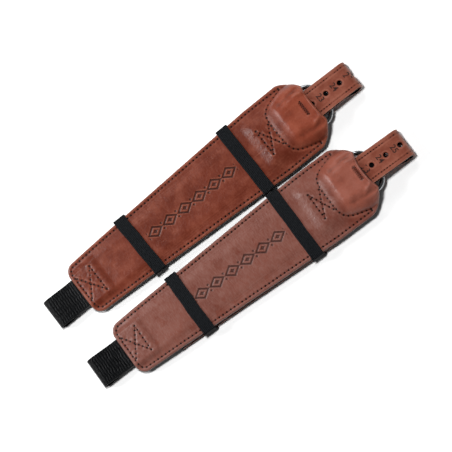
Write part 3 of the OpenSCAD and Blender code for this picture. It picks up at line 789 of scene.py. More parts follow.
        # a dip behind the mouth between two ridges over the corners of the frame
        lip = s.mouth - x
        height -= 0.80 * bell(lip - 9.5, 5.0) * bell(y - 1.0, 9.0)
        for sign in (-1.0, 1.0):
            ridge = (np.abs(y) * np.sign(y) * sign - 13.0) - 0.35 * (lip - 6.0)
            height += 1.0 * bell(ridge, 1.7) * bell(lip - 5.5, 5.0)
        height += 0.18 * bell(x - s.cover_start - 10.5, 2.2) * bell(y - 9.0, 7.0)
        # a pressed line along the mouth, and a little lift of its lip
        height -= 0.22 * bell(lip - 2.0, 0.5) * (np.abs(y) < s.mouth_half + 2.0)
        height += 0.25 * bell(lip - 0.9, 0.9) * (np.abs(y) < s.mouth_half + 3.0)
        # calmer where the keepers slide
        low_run = smooth((x - 62.0) / 5.0) * smooth((110.0 - x) / 5.0)
        high_run = smooth((x - 163.0) / 5.0) * smooth((209.0 - x) / 5.0)
        calm = 1.0 - 0.65 * (low_run + high_run)
        height += calm * (0.10 * crumple(x, y, 26.0, seed) + 0.035 * crumple(x, y, 7.0, seed + 1))
        tool = self.tooling(x, y)
        height -= 0.28 * tool
        body = smooth((edge - 0.2) / 2.2)
        # values for the material: painted shade round the needle holes, the tooled lines, and a painted
        # highlight along the rounded edge
        return height * body, {"needle": needle_shade, "tool": tool, "edge": 1.0 - smooth(edge / 2.6)}

    def surface(self) -> Surface:
        """The panel as a tube of cross sections: a fine upper side and a coarse underside."""
        s = self.shape.s
        corner = s.pad_start + s.corner * (1.0 - np.cos(np.linspace(0.0, math.pi / 2, 24)))
        body = np.arange(corner[-1] + self.step, s.shoulder, self.step)
        turn = s.shoulder + (s.mouth - s.shoulder) * (1.0 - (1.0 - np.linspace(0.0, 1.0, 48)) ** 1.7)
        x_rows = np.concatenate([corner, body, turn])
        rim = np.array([0.0, 0.12, 0.3, 0.55, 0.9, 1.3, 1.75]) / s.high_half
        inner = np.linspace(1.0 - rim[-1], 0.0, 58)[1:]
        half_columns = np.concatenate([1.0 - rim, inner])
        columns = np.concatenate([half_columns, -half_columns[-2::-1]])
        x = np.repeat(x_rows[:, None], len(columns), axis=1)
        y = self.shape.half_width(x) * columns[None, :]
        edge = self.edge_distance(x, y)
        relief, values = self.relief(x, y, edge)
        gap = 1.0 - np.clip(edge / self.round_r, 0.0, 1.0)
        rounding = 1.25 * (1.0 - np.sqrt(1.0 - gap**2))
        z = self.top(x, y) + relief - rounding
        # paler on the relief's ridges, partly pull-up paling and partly painted highlight, and darker in its
        # hollows as painted shade
        curl = sum(np.gradient(np.gradient(relief, axis=k), axis=k) for k in (0, 1))
        values["tone"] = np.clip(-7.0 * curl, -1.0, 1.0)
        low_columns = np.linspace(-0.999, 0.999, 25)
        xl = np.repeat(x_rows[:, None], len(low_columns), axis=1)
        yl = self.shape.half_width(xl) * low_columns[None, :]
        zl = self.shape.face_under(xl, yl)
        upper = np.stack([x - self.shape.mouth_shift(x, y), y, z], axis=-1)
        lower = np.stack([xl - self.shape.mouth_shift(xl, yl), yl, zl], axis=-1)
        sections = np.concatenate([upper, lower], axis=1)
        blank = np.zeros(xl.shape)
        merged = {
            k: np.concatenate([v, blank + (1.0 if k == "edge" else 0.0)], axis=1) for k, v in values.items()
        }
        # painted sheen: a pale veil over the body for a satin reflection, weaker towards the box stitch and
        # on the cover
        satin = (
            1.0 - 0.30 * smooth((x - s.anchor_start + 4.0) / 12.0)
            - 0.65 * smooth((x - s.cover_start + 2.0) / 8.0)
        )
        merged["satin"] = np.concatenate([satin, blank], axis=1)
        stretched = smooth((x - s.cover_start - 2.0) / 9.0) * smooth((27.0 - np.abs(y)) / 5.0)
        merged["stretched"] = np.concatenate([stretched, blank], axis=1)
        merged["side"] = np.concatenate([np.zeros(x.shape), blank + 1.0], axis=1)
        return tube(sections, sections[..., :2], merged)

    def stitch_pieces(self) -> dict[str, Surface]:
        """Threads and pits of each line of stitching, by the name of its piece."""
        made = {}
        for name, runs in self.runs.items():
            fine = name == "cover_bar_tack"
            threads = Stitches(0.42 if fine else 0.24, 0.42 if fine else 0.74)
            for run in runs:
                x, y = run.holes[:, 0], run.holes[:, 1]
                z = self.top(x, y) - 0.12
                h = 0.3
                slope_x = (self.top(x + h, y) - self.top(x - h, y)) / (2 * h)
                slope_y = (self.top(x, y + h) - self.top(x, y - h)) / (2 * h)
                up = np.column_stack([-slope_x, -slope_y, np.ones_like(x)])
                up /= np.linalg.norm(up, axis=1, keepdims=True)
                points = np.column_stack([x, y, z])
                threads.add(points[:-1], points[1:], up[:-1])
            made[name] = threads.surface()
        return made


# ---- grip lining --------------------------------------------------------------------


class GripLining:
    """The black lining under the pad, with a bay that leaves the buckle open."""

    def __init__(self, shape: UnitShape) -> None:
        """Keeps the unit's shape."""
        self.shape = shape

    def surface(self) -> Surface:
        """Two closed halves that meet along the middle line as far as the bay."""
        s = self.shape.s
        bay = s.cover_start + 4.0
        end = s.shoulder + 3.0
        corner = s.pad_start + s.corner * (1.0 - np.cos(np.linspace(0.0, math.pi / 2, 12)))
        rows = np.concatenate(
            [corner, np.linspace(corner[-1] + 2.5, bay, 84), [bay + 0.01], np.linspace(bay + 1.0, end, 14)]
        )
        inner = np.interp(rows, [bay, bay + 0.005, bay + 4.0, end], [0.0, 13.0, 18.6, 22.5])
        half = self.shape.half_width(rows)
        left = self.half_sheet(rows, inner, half, 1.0)
        return left.joined(self.half_sheet(rows, inner, half, -1.0))

    def half_sheet(self, rows: Array, inner: Array, half: Array, sign: float) -> Surface:
        """A closed sheet from the middle line, or the bay, out to the edge."""
        s = self.shape.s
        across = np.array([0.0, 0.03, 0.35, 0.7, 0.95, 1.0])
        rounding = np.array([0.0, 0.0, 0.0, 0.0, 0.0, 0.3])
        y = inner[:, None] + (half + 0.12 - inner)[:, None] * across[None, :]
        x = np.repeat(rows[:, None], len(across), axis=1)
        base = s.z_back - self.shape.droop(x)
        upper = np.stack([x, sign * y, base + s.back_t], axis=-1)
        lower = np.stack([x, sign * y, base + rounding], axis=-1)[:, ::-1]
        sections = np.concatenate([upper, lower], axis=1)
        return tube(sections, sections[..., :2])


# ---- webbing ------------------------------------------------------------------------


class Webbing:
    """One length of webbing: turned in at the narrow end, looped, and run to the hinge bar."""

    rib = 2.15

    def __init__(self, shape: UnitShape) -> None:
        """Keeps the unit's shape."""
        self.shape = shape

    def course(self) -> Course:
        """The middle of the webbing's thickness, from its turned-in end to the box stitch."""
        s, shape = self.shape.s, self.shape
        t = s.webbing_t
        end_x = s.pad_start - 4.5
        fold = (s.end_gap / 2.0 + t, s.end_gap / 2.0 + t + 0.15)
        r = s.end_gap / 2.0 + t / 2.0
        line = float(shape.end_line(np.array(end_x)))
        inside = np.linspace(s.fold_back_end, s.pad_start, 12)
        turned = np.column_stack([inside, s.z_core_top + t / 2 + 0.04 - shape.droop(inside)])
        out = np.linspace(s.pad_start, end_x, 14)[1:]
        upper = np.column_stack([out, shape.end_line(out) + t / 2 + 0.02])
        lower = np.column_stack([out, shape.end_line(out) - t / 2 - 0.02])[::-1]
        over = ease_between((end_x, line + t / 2), (fold[0], fold[1] + r), 70)[1:]
        round_fold = arc(fold, r, 92.0, 268.0, 36)
        under = ease_between((fold[0], fold[1] - r), (end_x, line - t / 2), 70)[:-1]
        core_x = np.concatenate([[s.pad_start + 0.5], np.linspace(s.pad_start + 3.0, s.bar_x, 90)])
        core = np.column_stack([core_x, s.z_core + t / 2 - shape.droop(core_x)])
        bar_r = s.wire_r + s.touch + t / 2
        wrap = arc((s.bar_x, s.bar_z), bar_r, -86.0, 80.0, 16)
        back = ease_between((s.bar_x, s.bar_z + bar_r), (s.bar_x - 13.0, s.z_core_top + t * 1.5), 12)[1:]
        last = np.array([[s.anchor_start - 2.0, s.z_core_top + t * 1.5]])
        flat = np.vstack([turned, upper, over, round_fold, under, lower, core, wrap, back, last])
        points = np.column_stack([flat[:, 0], np.zeros(len(flat)), flat[:, 1]])
        return Course(points, np.tile([0.0, 1.0, 0.0], (len(flat), 1)))

    def surface(self) -> Surface:
        """The webbing with its cross ribs, strong on the loop and faint inside the pad."""
        s = self.shape.s
        course = self.course()
        t = s.webbing_t
        count = len(course.points)
        y, n = round_section(
            np.full(count, s.webbing_w / 2), np.full(count, -t / 2), np.full(count, t / 2), 0.5, 44, 4
        )
        length = course.length[:, None]
        seed = self.shape.v.seed
        bent = length + 0.35 * crumple(length, y * 2.0, 9.0, seed + 7) + 0.02 * y
        ribs = np.abs(np.sin(math.pi * bent / self.rib)) ** 0.7
        x = course.points[:, 0][:, None]
        strong = (1.0 - smooth((x - s.pad_start + 0.5) / 2.0)) * (0.25 + 0.75 * smooth((x - 1.6) / 2.0))
        strong = strong * (0.8 + 0.25 * crumple(length, y, 6.0, seed + 8))
        margin = smooth((s.webbing_w / 2 - 0.4 - np.abs(y)) / 1.1)
        offset = n + np.sign(n) * 0.42 * (ribs - 0.75) * margin * strong
        points = np.stack([np.broadcast_to(length, y.shape), y, offset], axis=-1)
        # painted shade in the valleys between the ribs
        return tube(points, points[..., :2], {"valley": (1.0 - ribs) * margin * strong})

    def prong_slot(self, width: float) -> Surface:
        """The flat block that leaves room for the prong's eye at the hinge bar."""
        s = self.shape.s
        course = self.course()
        near = course.points[:, 0] > s.bar_x - 7.0
        return slot(course.length[near].min(), course.length[near].max(), width / 2.0, 0.0)


def slot(start: float, stop: float, half: float, rounding: float) -> Surface:
    """An upright flat-laid block or round-ended peg that cuts a hole through a ply."""
    angle = np.linspace(0.0, 2.0 * math.pi, 28, endpoint=False)
    if rounding > 0.0:
        ahead = np.cos(angle) * rounding + np.where(np.cos(angle) > 0.0, stop - rounding, start + rounding)
        aside = np.sin(angle) * half
    else:
        ahead = np.array([stop, start, start, stop])
        aside = np.array([half, half, -half, -half])
    ends = np.stack([np.column_stack([ahead, aside, np.full(len(ahead), z)]) for z in (-4.0, 4.0)])
    return tube(ends, ends[..., :2])


# ---- strap --------------------------------------------------------------------------


class Strap:
    """The perforated strap: out of the cover, round its fold, back through the buckle, and its tail."""

    stitch_row = 9.0

    def __init__(self, shape: UnitShape) -> None:
        """Lays out the seam between the leather and its nylon lining."""
        self.shape = shape
        self.course = self.seam()

    def seam(self) -> Course:
        """The seam's path, with the leather on its left all the way."""
        s, shape = self.shape.s, self.shape
        top = shape.strap_top
        foot = s.z_core_top + s.webbing_t + s.touch
        rise_end = s.bar_x - 1.0
        fold = (s.strap_end - s.fold_r, float(top(np.array(s.strap_end - s.fold_r))) - s.fold_r)
        r = s.fold_r - s.leather_t
        lean = math.degrees(math.atan(s.strap_slope))
        start = np.column_stack([np.linspace(s.anchor_start, s.cover_start + 1.5, 12), np.full(12, foot)])
        up = ease_between(
            (s.cover_start + 1.5, foot), (rise_end, float(top(np.array(rise_end))) - s.leather_t), 24
        )[1:]
        out = np.linspace(rise_end, fold[0], 64)[1:]
        upper = np.column_stack([out, top(out) - s.leather_t])
        fold_turn = arc(fold, r, 90.0 - lean, -84.0, 36)
        run = 13.0
        lift = float(top(np.array(fold[0] - run))) - 2 * s.strap_t - s.ply_gap - fold[1] + s.fold_r
        back = np.linspace(1.3, run, 18)
        lower = np.column_stack(
            [fold[0] - back, fold[1] - r + lift * (1.0 - np.cos(math.pi * back / run)) / 2.0]
        )
        high = s.mouth + 1.0
        flat_x = np.linspace(fold[0] - run, high, 20)[1:]
        beside = np.column_stack([flat_x, top(flat_x) - s.strap_t - s.ply_gap - s.nylon_t])
        level = s.z_tail_high + s.leather_t
        down = ease_between(tuple(beside[-1]), (s.bar_x + 6.0, level), 26)[1:]
        tail_x = np.linspace(s.bar_x + 6.0, s.tail_fold_x, 100)[1:]
        tail = np.column_stack([tail_x, np.full(len(tail_x), level)])
        middle = s.z_tail_low + s.strap_t + s.fit / 2.0
        turn = arc((s.tail_fold_x, middle), level - middle, 96.0, 264.0, 18)
        last_x = np.linspace(s.tail_fold_x, s.pad_start + 194.0, 90)[1:]
        last = np.column_stack([last_x, np.full(len(last_x), 2.0 * middle - level)])
        flat = np.vstack([start, up, upper, fold_turn, lower, beside, down, tail, turn, last])
        slant = [math.radians(a) for a in shape.v.tail_slants]
        n_tail = len(flat) - len(turn) - len(last)
        on_tail = np.arange(n_tail) > n_tail - len(tail) - 20
        aside = np.clip(s.bar_x - 6.0 - flat[:n_tail, 0], 0.0, None) * on_tail
        turned = (slant[0] - slant[1]) / 2.0
        y = np.zeros(len(flat))
        heading = np.full(len(flat), turned)
        y[:n_tail] = -aside * math.tan(slant[0])
        near = np.where(on_tail, 1.0 - smooth((flat[:n_tail, 0] - s.tail_fold_x) / 34.0), 0.0)
        heading[:n_tail] = slant[0] * smooth(aside / 8.0) * (1.0 - near) + turned * near
        fold_y = y[n_tail - 1]
        past = last_x - s.tail_fold_x
        y[n_tail:] = fold_y
        y[-len(last):] = fold_y - past * math.tan(slant[1])
        heading[-len(last):] = turned + (-slant[1] - turned) * smooth(past / 34.0)
        across = np.column_stack([-np.sin(heading), np.cos(heading), np.zeros(len(flat))])
        return Course(np.column_stack([flat[:, 0], y, flat[:, 1]]), across)

    def length_at_top(self, x: float) -> float:
        """Length along the seam where the upper layer passes x."""
        upper = self.course.points[:100]
        return float(np.interp(x, upper[:, 0], self.course.length[:100]))

    def ply(self, leather: bool) -> Surface:
        """One ply of the strap laid out flat along the seam, with pressed stitch rows on the leather."""
        s = self.shape.s
        course = self.course
        x = course.points[:, 0]
        first = 0 if leather else int(np.searchsorted(x[:60], s.bar_x))
        length = course.length[first:]
        to_tip = length[-1] - length
        half = s.strap_w / 2.0 * (1.0 - 0.42 * (1.0 - smooth(to_tip / 13.0)))
        before = np.arange(len(x)) < 60
        full = np.where(before, smooth((x - s.cover_start - 1.0) / 11.0), 1.0)[first:]
        if leather:
            low, high = np.zeros(len(length)), 0.74 + (s.leather_t - 0.74) * full
        else:
            low, high = np.full(len(length), -s.nylon_t), np.full(len(length), -s.touch / 4)
        y, n = round_section(half, low, high, 0.62 if leather else 0.3, 40, 4)
        lengths = np.broadcast_to(length[:, None], y.shape)
        values = {}
        if leather:
            face = n > high[:, None] - 0.02
            row = np.abs(np.abs(y) - self.stitch_row)
            holes = np.hypot(lengths[..., None] - self.hole_lengths(), y[..., None]).min(axis=-1)
            relief = -0.12 * bell(row, 0.5) + 0.05 * bell(row - 1.3, 0.6) - 0.22 * bell(holes - 1.9, 0.75)
            relief += 0.05 * crumple(lengths, y, 11.0, self.shape.v.seed + 9)
            relief -= 0.12 * smooth((np.abs(y) - 10.4) / 1.6)
            n = n + np.where(face, relief, 0.0)
            # painted highlight along the strap's rounded edges, and on its sides and underside
            edge = smooth((np.abs(y) - half[:, None] + 1.6) / 1.3)
            values["edge"] = np.where(face, edge, 1.0)
            # painted highlight beside the stitch rows, round the holes and on the fold's crest, and painted
            # shade on the stitch rows
            tone = 0.6 * bell(row - 1.3, 0.5) - 0.2 * bell(row, 0.5) + 0.9 * bell(holes - 3.1, 0.5)
            turn = np.broadcast_to((course.points[first:, 0] - s.strap_end)[:, None], y.shape)
            tone = tone + 0.9 * bell(turn + s.strap_t / 2.0 + 1.6, 1.1)
            values["tone"] = np.where(face, tone, 0.0)
        points = np.stack([lengths, y, n], axis=-1)
        return tube(points, points[..., :2], values)

    def hole_lengths(self) -> Array:
        """Lengths along the seam of all adjusting holes: on the loop, and on both layers of the tail."""
        s = self.shape.s
        shift = s.leather_t - s.strap_t / 2.0
        middle = self.course.points + self.course.normal * shift
        along = np.concatenate([[0.0], np.cumsum(np.linalg.norm(np.diff(middle, axis=0), axis=1))])
        start = np.interp(self.length_at_top(self.shape.first_hole), self.course.length, along)
        loop = np.interp(start + s.hole_pitch * np.arange(-1, 5), along, self.course.length)
        pitch = s.hole_pitch
        high = self.tail_length(s.z_tail_high, np.arange(s.bar_x - 6.0 - 0.4 * pitch, s.tail_fold_x, -pitch))
        low = self.tail_length(s.z_tail_low, s.tail_fold_x + pitch * (np.arange(11) + 0.5))
        return np.concatenate([loop, high, low])

    def tail_length(self, level: float, x: Array) -> Array:
        """Lengths along the seam at places x of the tail's layer that lies on a level."""
        s, points = self.shape.s, self.course.points
        on = (np.abs(points[:, 2] - level - s.strap_t / 2.0) < s.strap_t / 2.0) & (points[:, 0] < s.bar_x)
        on &= np.arange(len(points)) > 150
        order = np.argsort(points[on, 0])
        return np.interp(x, points[on, 0][order], self.course.length[on][order])

    def prong_length(self, lift: float) -> float:
        """Length along the seam where a ply at this lift crosses the prong on its way down."""
        s = self.shape.s
        place = self.course.points + self.course.normal * lift
        prong_z = s.bar_z - math.tan(math.radians(13.5)) * (place[:, 0] - s.bar_x)
        gap = np.abs(place[:, 2] - prong_z) + np.where(np.arange(len(place)) > 140, 0.0, 50.0)
        gap = gap + np.where(place[:, 0] > s.bar_x + 4.0, 0.0, 50.0)
        return float(self.course.length[int(np.argmin(gap))])

    def cutter(self, leather: bool) -> Surface:
        """Upright pegs for the adjusting holes and the long hole that the prong stands in."""
        s = self.shape.s
        r = s.hole_d / 2.0
        crossing = self.prong_length(s.leather_t / 2.0 if leather else -s.nylon_t / 2.0)
        made = slot(crossing - 8.5, crossing + 8.5, r, r)
        for length in self.hole_lengths():
            made = made.joined(slot(length - r, length + r, r, r))
        return made

    def stitches(self) -> Surface:
        """Both rows of stitches on the leather, and on the lining of the tail's lower layer."""
        s, course = self.shape.s, self.course
        threads = Stitches(0.18, 0.58)
        start = self.length_at_top(s.bar_x + 4.0)
        stop = course.length[-110]
        places = np.arange(start, stop, 2.7)
        lower = np.arange(course.length[-88], course.length[-1] - 14.0, 2.9)
        for sign in (-1.0, 1.0):
            for spots, lift, flip in ((places, s.leather_t, 1.0), (lower, -s.nylon_t, -1.0)):
                points = course.at(spots, sign * self.stitch_row, lift - 0.05 * flip)
                up = course.sample(course.normal, spots) * flip
                threads.add(points[:-1], points[1:], up[:-1])
        return threads.surface()

    def numbers(self) -> Surface:
        """Pressed numbers, one on the pad's side of each hole near the fold."""
        made = None
        for k, length in enumerate(self.hole_lengths()[:6]):
            digits = lettering(str(FIRST_NUMBER + k), 4.7)
            flat = digits.points
            middle = (flat.max(axis=0) + flat.min(axis=0)) / 2.0
            spots = length - 5.3 + (flat[:, 1] - middle[1])
            points = self.course.at(
                spots, -(flat[:, 0] - middle[0]), self.shape.s.leather_t + 0.035 + flat[:, 2]
            )
            one = Surface(points, digits.faces, np.column_stack([spots, flat[:, 0]]))
            made = one if made is None else made.joined(one)
        return made


def lettering(text: str, size: float) -> Surface:
    """Thin closed digits, laid out flat in x and y with their thickness in z."""
    curve = bpy.data.curves.new("digits", "FONT")
    curve.body = text
    curve.size = size * 1.42
    curve.extrude = 0.02
    curve.offset = 0.09
    curve.resolution_u = 3
    thing = bpy.data.objects.new("digits", curve)
    bpy.context.scene.collection.objects.link(thing)
    mesh = bpy.data.meshes.new_from_object(thing.evaluated_get(bpy.context.evaluated_depsgraph_get()))
    points = np.zeros(len(mesh.vertices) * 3)
    mesh.vertices.foreach_get("co", points)
    faces = [list(p.vertices) for p in mesh.polygons]
    bpy.data.objects.remove(thing)
    bpy.data.curves.remove(curve)
    bpy.data.meshes.remove(mesh)
    return Surface(points.reshape(-1, 3), faces, np.zeros((len(points) // 3, 2)))


# ---- elastic keepers ----------------------------------------------------------------


class Keeper:
    """A ring of elastic round the pad and the tail."""

    def __init__(self, shape: UnitShape, at: float, travel: tuple[float, float], lean: float) -> None:
        """Keeps where the ring lies, how far it slides, and how aslant it sits."""
        self.shape = shape
        self.at = at
        self.travel = travel
        self.lean = lean

    def bundle(self, x: float) -> tuple[float, float]:
        """Right and left edge of the tail's two layers at x."""
        s = self.shape.s
        a, b = (math.radians(v) for v in self.shape.v.tail_slants)
        fold_y = -(s.bar_x - 6.0 - s.tail_fold_x) * math.tan(a)
        upper = -(s.bar_x - 6.0 - x) * math.tan(a)
        lower = fold_y - (x - s.tail_fold_x) * math.tan(b)
        half = s.strap_w / 2.0
        return min(upper, lower) - half, max(upper, lower) + half

    def loop(self) -> Array:
        """The middle of the elastic's thickness as a closed loop in y and z, rounded at its corners."""
        s = self.shape.s
        half = float(self.shape.half_width(np.array(self.at + s.band_w + self.travel[1]))) + 0.32
        ends = [self.bundle(x) for x in (self.at + self.travel[0], self.at + s.band_w + self.travel[1])]
        right = min(e[0] for e in ends) - 0.4
        left = max(e[1] for e in ends) + 0.4
        top = s.z_core_top + s.face_t + s.touch + 0.26
        shoulder = s.z_core + s.face_t + 0.4
        core = self.shape.core_edge + 1.0
        t = s.band_t / 2.0
        knees = [
            (right - t, t, 0.9), (left + t, t, 0.9),
            (max(left, half) + t, s.z_back - 0.3, 1.2), (half + t, shoulder + t, 0.9),
            (core, top + t, 14.0), (-core, top + t, 14.0), (-half - t, shoulder + t, 0.9),
            (min(right, -half) - t, s.z_back - 0.3, 1.2),
        ]
        return rounded_loop(knees, 0.55)

    def surface(self) -> Surface:
        """The ring, its edges rounded, leaning with y and drifting a little below."""
        s = self.shape.s
        loop = self.loop()
        step = np.roll(loop, -1, axis=0) - np.roll(loop, 1, axis=0)
        tangent = step / np.linalg.norm(step, axis=1, keepdims=True)
        normal = np.column_stack([tangent[:, 1], -tangent[:, 0]])
        count = len(loop)
        t = s.band_t
        w, n = round_section(
            np.full(count, s.band_w / 2), np.full(count, -t / 2), np.full(count, t / 2), 0.32, 22, 4
        )
        hops = np.linalg.norm(step, axis=1) / 2.0
        length = np.cumsum(hops)[:, None]
        seed = self.shape.v.seed
        wave = 0.16 * crumple(length, np.zeros_like(length), 22.0, seed + int(self.at))
        ribs = 0.05 * np.cos(2.0 * math.pi * w / 1.3)
        n = n + np.sign(n) * ribs * (np.abs(w) < s.band_w / 2 - 0.5)
        y = loop[:, :1] + normal[:, :1] * n
        z = loop[:, 1:] + normal[:, 1:] * n
        below = 1.0 - smooth((z - 1.0) / 6.5)
        x = self.at + s.band_w / 2 + w * (1.0 + 0.012 * wave) + wave - self.lean * y + 1.6 * below
        points = np.stack([x, y, z], axis=-1)
        uv = np.stack([np.broadcast_to(length, w.shape), w], axis=-1)
        return tube(points, uv, closed=True)

    def tack(self) -> Surface:
        """Three short rows that close the ring on its slanted underside."""
        s = self.shape.s
        loop = self.loop()
        k = int(np.argmin(np.abs(loop[:, 1] - s.z_back / 2.0) + np.where(loop[:, 0] > 0, 0.0, 50.0)))
        step = loop[(k + 1) % len(loop)] - loop[k]
        along = np.array([0.0, *(step / np.linalg.norm(step))])
        out = np.array([0.0, along[2], -along[1]])
        centre = np.array([self.at + s.band_w / 2 + 0.6, *loop[k]]) + out * (s.band_t / 2 - 0.05)
        threads = Stitches(0.24, 0.3)
        for row in (-1.6, 0.0, 1.6):
            x = np.linspace(-3.6, 3.6, 6)[:, None]
            points = centre + along * row + x * np.array([1.0, 0.0, 0.0])
            threads.add(points[:-1], points[1:], np.tile(out, (5, 1)))
        return threads.surface()


def rounded_loop(corners: list, step: float) -> Array:
    """A closed outline with each corner replaced by an arc of its own radius, evenly spaced.

    Args:
        corners: (y, z, radius) of each corner, anticlockwise.
        step: The usual distance between points.

    Returns:
        The outline's points.
    """
    pts = np.array([c[:2] for c in corners], float)
    made = []
    for k, (_, _, radius) in enumerate(corners):
        a, b, c = pts[k - 1], pts[k], pts[(k + 1) % len(pts)]
        u = (a - b) / np.linalg.norm(a - b)
        v = (c - b) / np.linalg.norm(c - b)
        opening = math.acos(float(np.clip(u @ v, -1.0, 1.0)))
        reach = radius / math.tan(opening / 2.0)
        centre = b + (u + v) / np.linalg.norm(u + v) * radius / math.sin(opening / 2.0)
        first, last = b + u * reach - centre, b + v * reach - centre
        turn = math.pi - opening
        start = math.atan2(first[1], first[0])
        sign = 1.0 if first[0] * last[1] - first[1] * last[0] > 0 else -1.0
        angles = start + sign * np.linspace(0.0, turn, 8)
        made.append(centre + radius * np.column_stack([np.cos(angles), np.sin(angles)]))
    outline = np.vstack(made)
    closed = np.vstack([outline, outline[:1]])
    hops = np.linalg.norm(np.diff(closed, axis=0), axis=1)
    length = np.concatenate([[0.0], np.cumsum(hops)])
    s = np.linspace(0.0, length[-1], int(length[-1] / step), endpoint=False)
    return np.column_stack([np.interp(s, length, closed[:, k]) for k in (0, 1)])


# ---- materials ----------------------------------------------------------------------

Colour = tuple[float, float, float]


class NodeSheet:
    """Short words for laying out a material's nodes."""

    def __init__(self, name: str) -> None:
        """Starts a material with its shader and output."""
        self.material = bpy.data.materials.new(name)
        self.material.use_nodes = True
        self.tree = self.material.node_tree
        self.shader = self.tree.nodes["Principled BSDF"]

    def node(self, kind: str, **inputs: object) -> bpy.types.Node:
        """A node with its inputs set to constants or linked to sockets."""
        made = self.tree.nodes.new(kind)
        for key, value in inputs.items():
            self.put(made.inputs[int(key[1:]) if key[1:].isdigit() else key.replace("_", " ")], value)
        return made

    def put(self, socket: bpy.types.NodeSocket, value: object) -> None:
        """Links a socket to another, or sets its constant."""
        if isinstance(value, bpy.types.NodeSocket):
            self.tree.links.new(value, socket)
        else:
            socket.default_value = value

    def math(self, operation: str, a: object, b: object = 0.0, c: object = 0.0) -> bpy.types.NodeSocket:
        """A math node."""
        made = self.node("ShaderNodeMath", _0=a, _1=b, _2=c)
        made.operation = operation
        return made.outputs[0]

    def value(self, name: str) -> bpy.types.NodeSocket:
        """A per-point value of the mesh."""
        made = self.tree.nodes.new("ShaderNodeAttribute")
        made.attribute_name = name
        return made.outputs["Fac"]

    def uv(self, x: float = 1.0, y: float = 1.0, turn: float = 0.0) -> bpy.types.NodeSocket:
        """The piece's own flat coordinates in metres, stretched and turned."""
        source = self.tree.nodes.new("ShaderNodeTexCoord")
        made = self.node("ShaderNodeMapping", Vector=source.outputs["UV"])
        made.inputs["Scale"].default_value = (x, y, 1.0)
        made.inputs["Rotation"].default_value = (0.0, 0.0, turn)
        return made.outputs[0]

    def solid(self) -> bpy.types.NodeSocket:
        """The piece's own solid coordinates in metres."""
        return self.tree.nodes.new("ShaderNodeTexCoord").outputs["Object"]

    def noise(
        self, vector: object, size: float, detail: float = 4.0, rough: float = 0.55
    ) -> bpy.types.NodeSocket:
        """Noise whose humps are about this many metres apart."""
        made = self.node(
            "ShaderNodeTexNoise", Vector=vector, Scale=1.0 / size, Detail=detail, Roughness=rough
        )
        return made.outputs["Fac"]

    def cells(self, vector: object, size: float) -> bpy.types.NodeSocket:
        """Distance from the middle of the nearest cell, cells about this many metres across."""
        made = self.node("ShaderNodeTexVoronoi", Vector=vector, Scale=1.0 / size)
        made.feature = "SMOOTH_F1"
        return made.outputs["Distance"]

    def waves(self, vector: object, size: float, axis: str, bend: float = 0.0) -> bpy.types.NodeSocket:
        """Sine bands this many metres apart along an axis."""
        made = self.node("ShaderNodeTexWave", Vector=vector, Scale=math.pi / (10.0 * size), Distortion=bend)
        made.bands_direction = axis
        return made.outputs["Fac"]

    def span(
        self, value: object, low: float, high: float, to_low: float = 0.0, to_high: float = 1.0
    ) -> bpy.types.NodeSocket:
        """A value moved from one range to another, held at its ends."""
        made = self.node("ShaderNodeMapRange", Value=value)
        for key, number in (("From Min", low), ("From Max", high), ("To Min", to_low), ("To Max", to_high)):
            made.inputs[key].default_value = number
        return made.outputs[0]

    def blend(self, factor: object, a: object, b: object, mode: str = "MIX") -> bpy.types.NodeSocket:
        """Two colours mixed by a factor."""
        made = self.tree.nodes.new("ShaderNodeMix")
        made.data_type = "RGBA"
        made.blend_type = mode
        self.put(made.inputs[0], factor)
        for index, value in ((6, a), (7, b)):
            self.put(made.inputs[index], (*value, 1.0) if isinstance(value, tuple) else value)
        return made.outputs[2]

    def bump(self, height: object, depth: float, normal: object = None) -> bpy.types.NodeSocket:
        """A bump of this depth in metres over an earlier one."""
        made = self.node("ShaderNodeBump", Height=height, Distance=depth, Strength=1.0)
        if normal is not None:
            self.put(made.inputs["Normal"], normal)
        return made.outputs[0]

    def finish(self, **inputs: object) -> bpy.types.Material:
        """Sets the shader's inputs by name and hands the material over."""
        for key, value in inputs.items():
            name = key.replace("_", " ")
            self.put(self.shader.inputs[name], (*value, 1.0) if isinstance(value, tuple) else value)
        return self.material


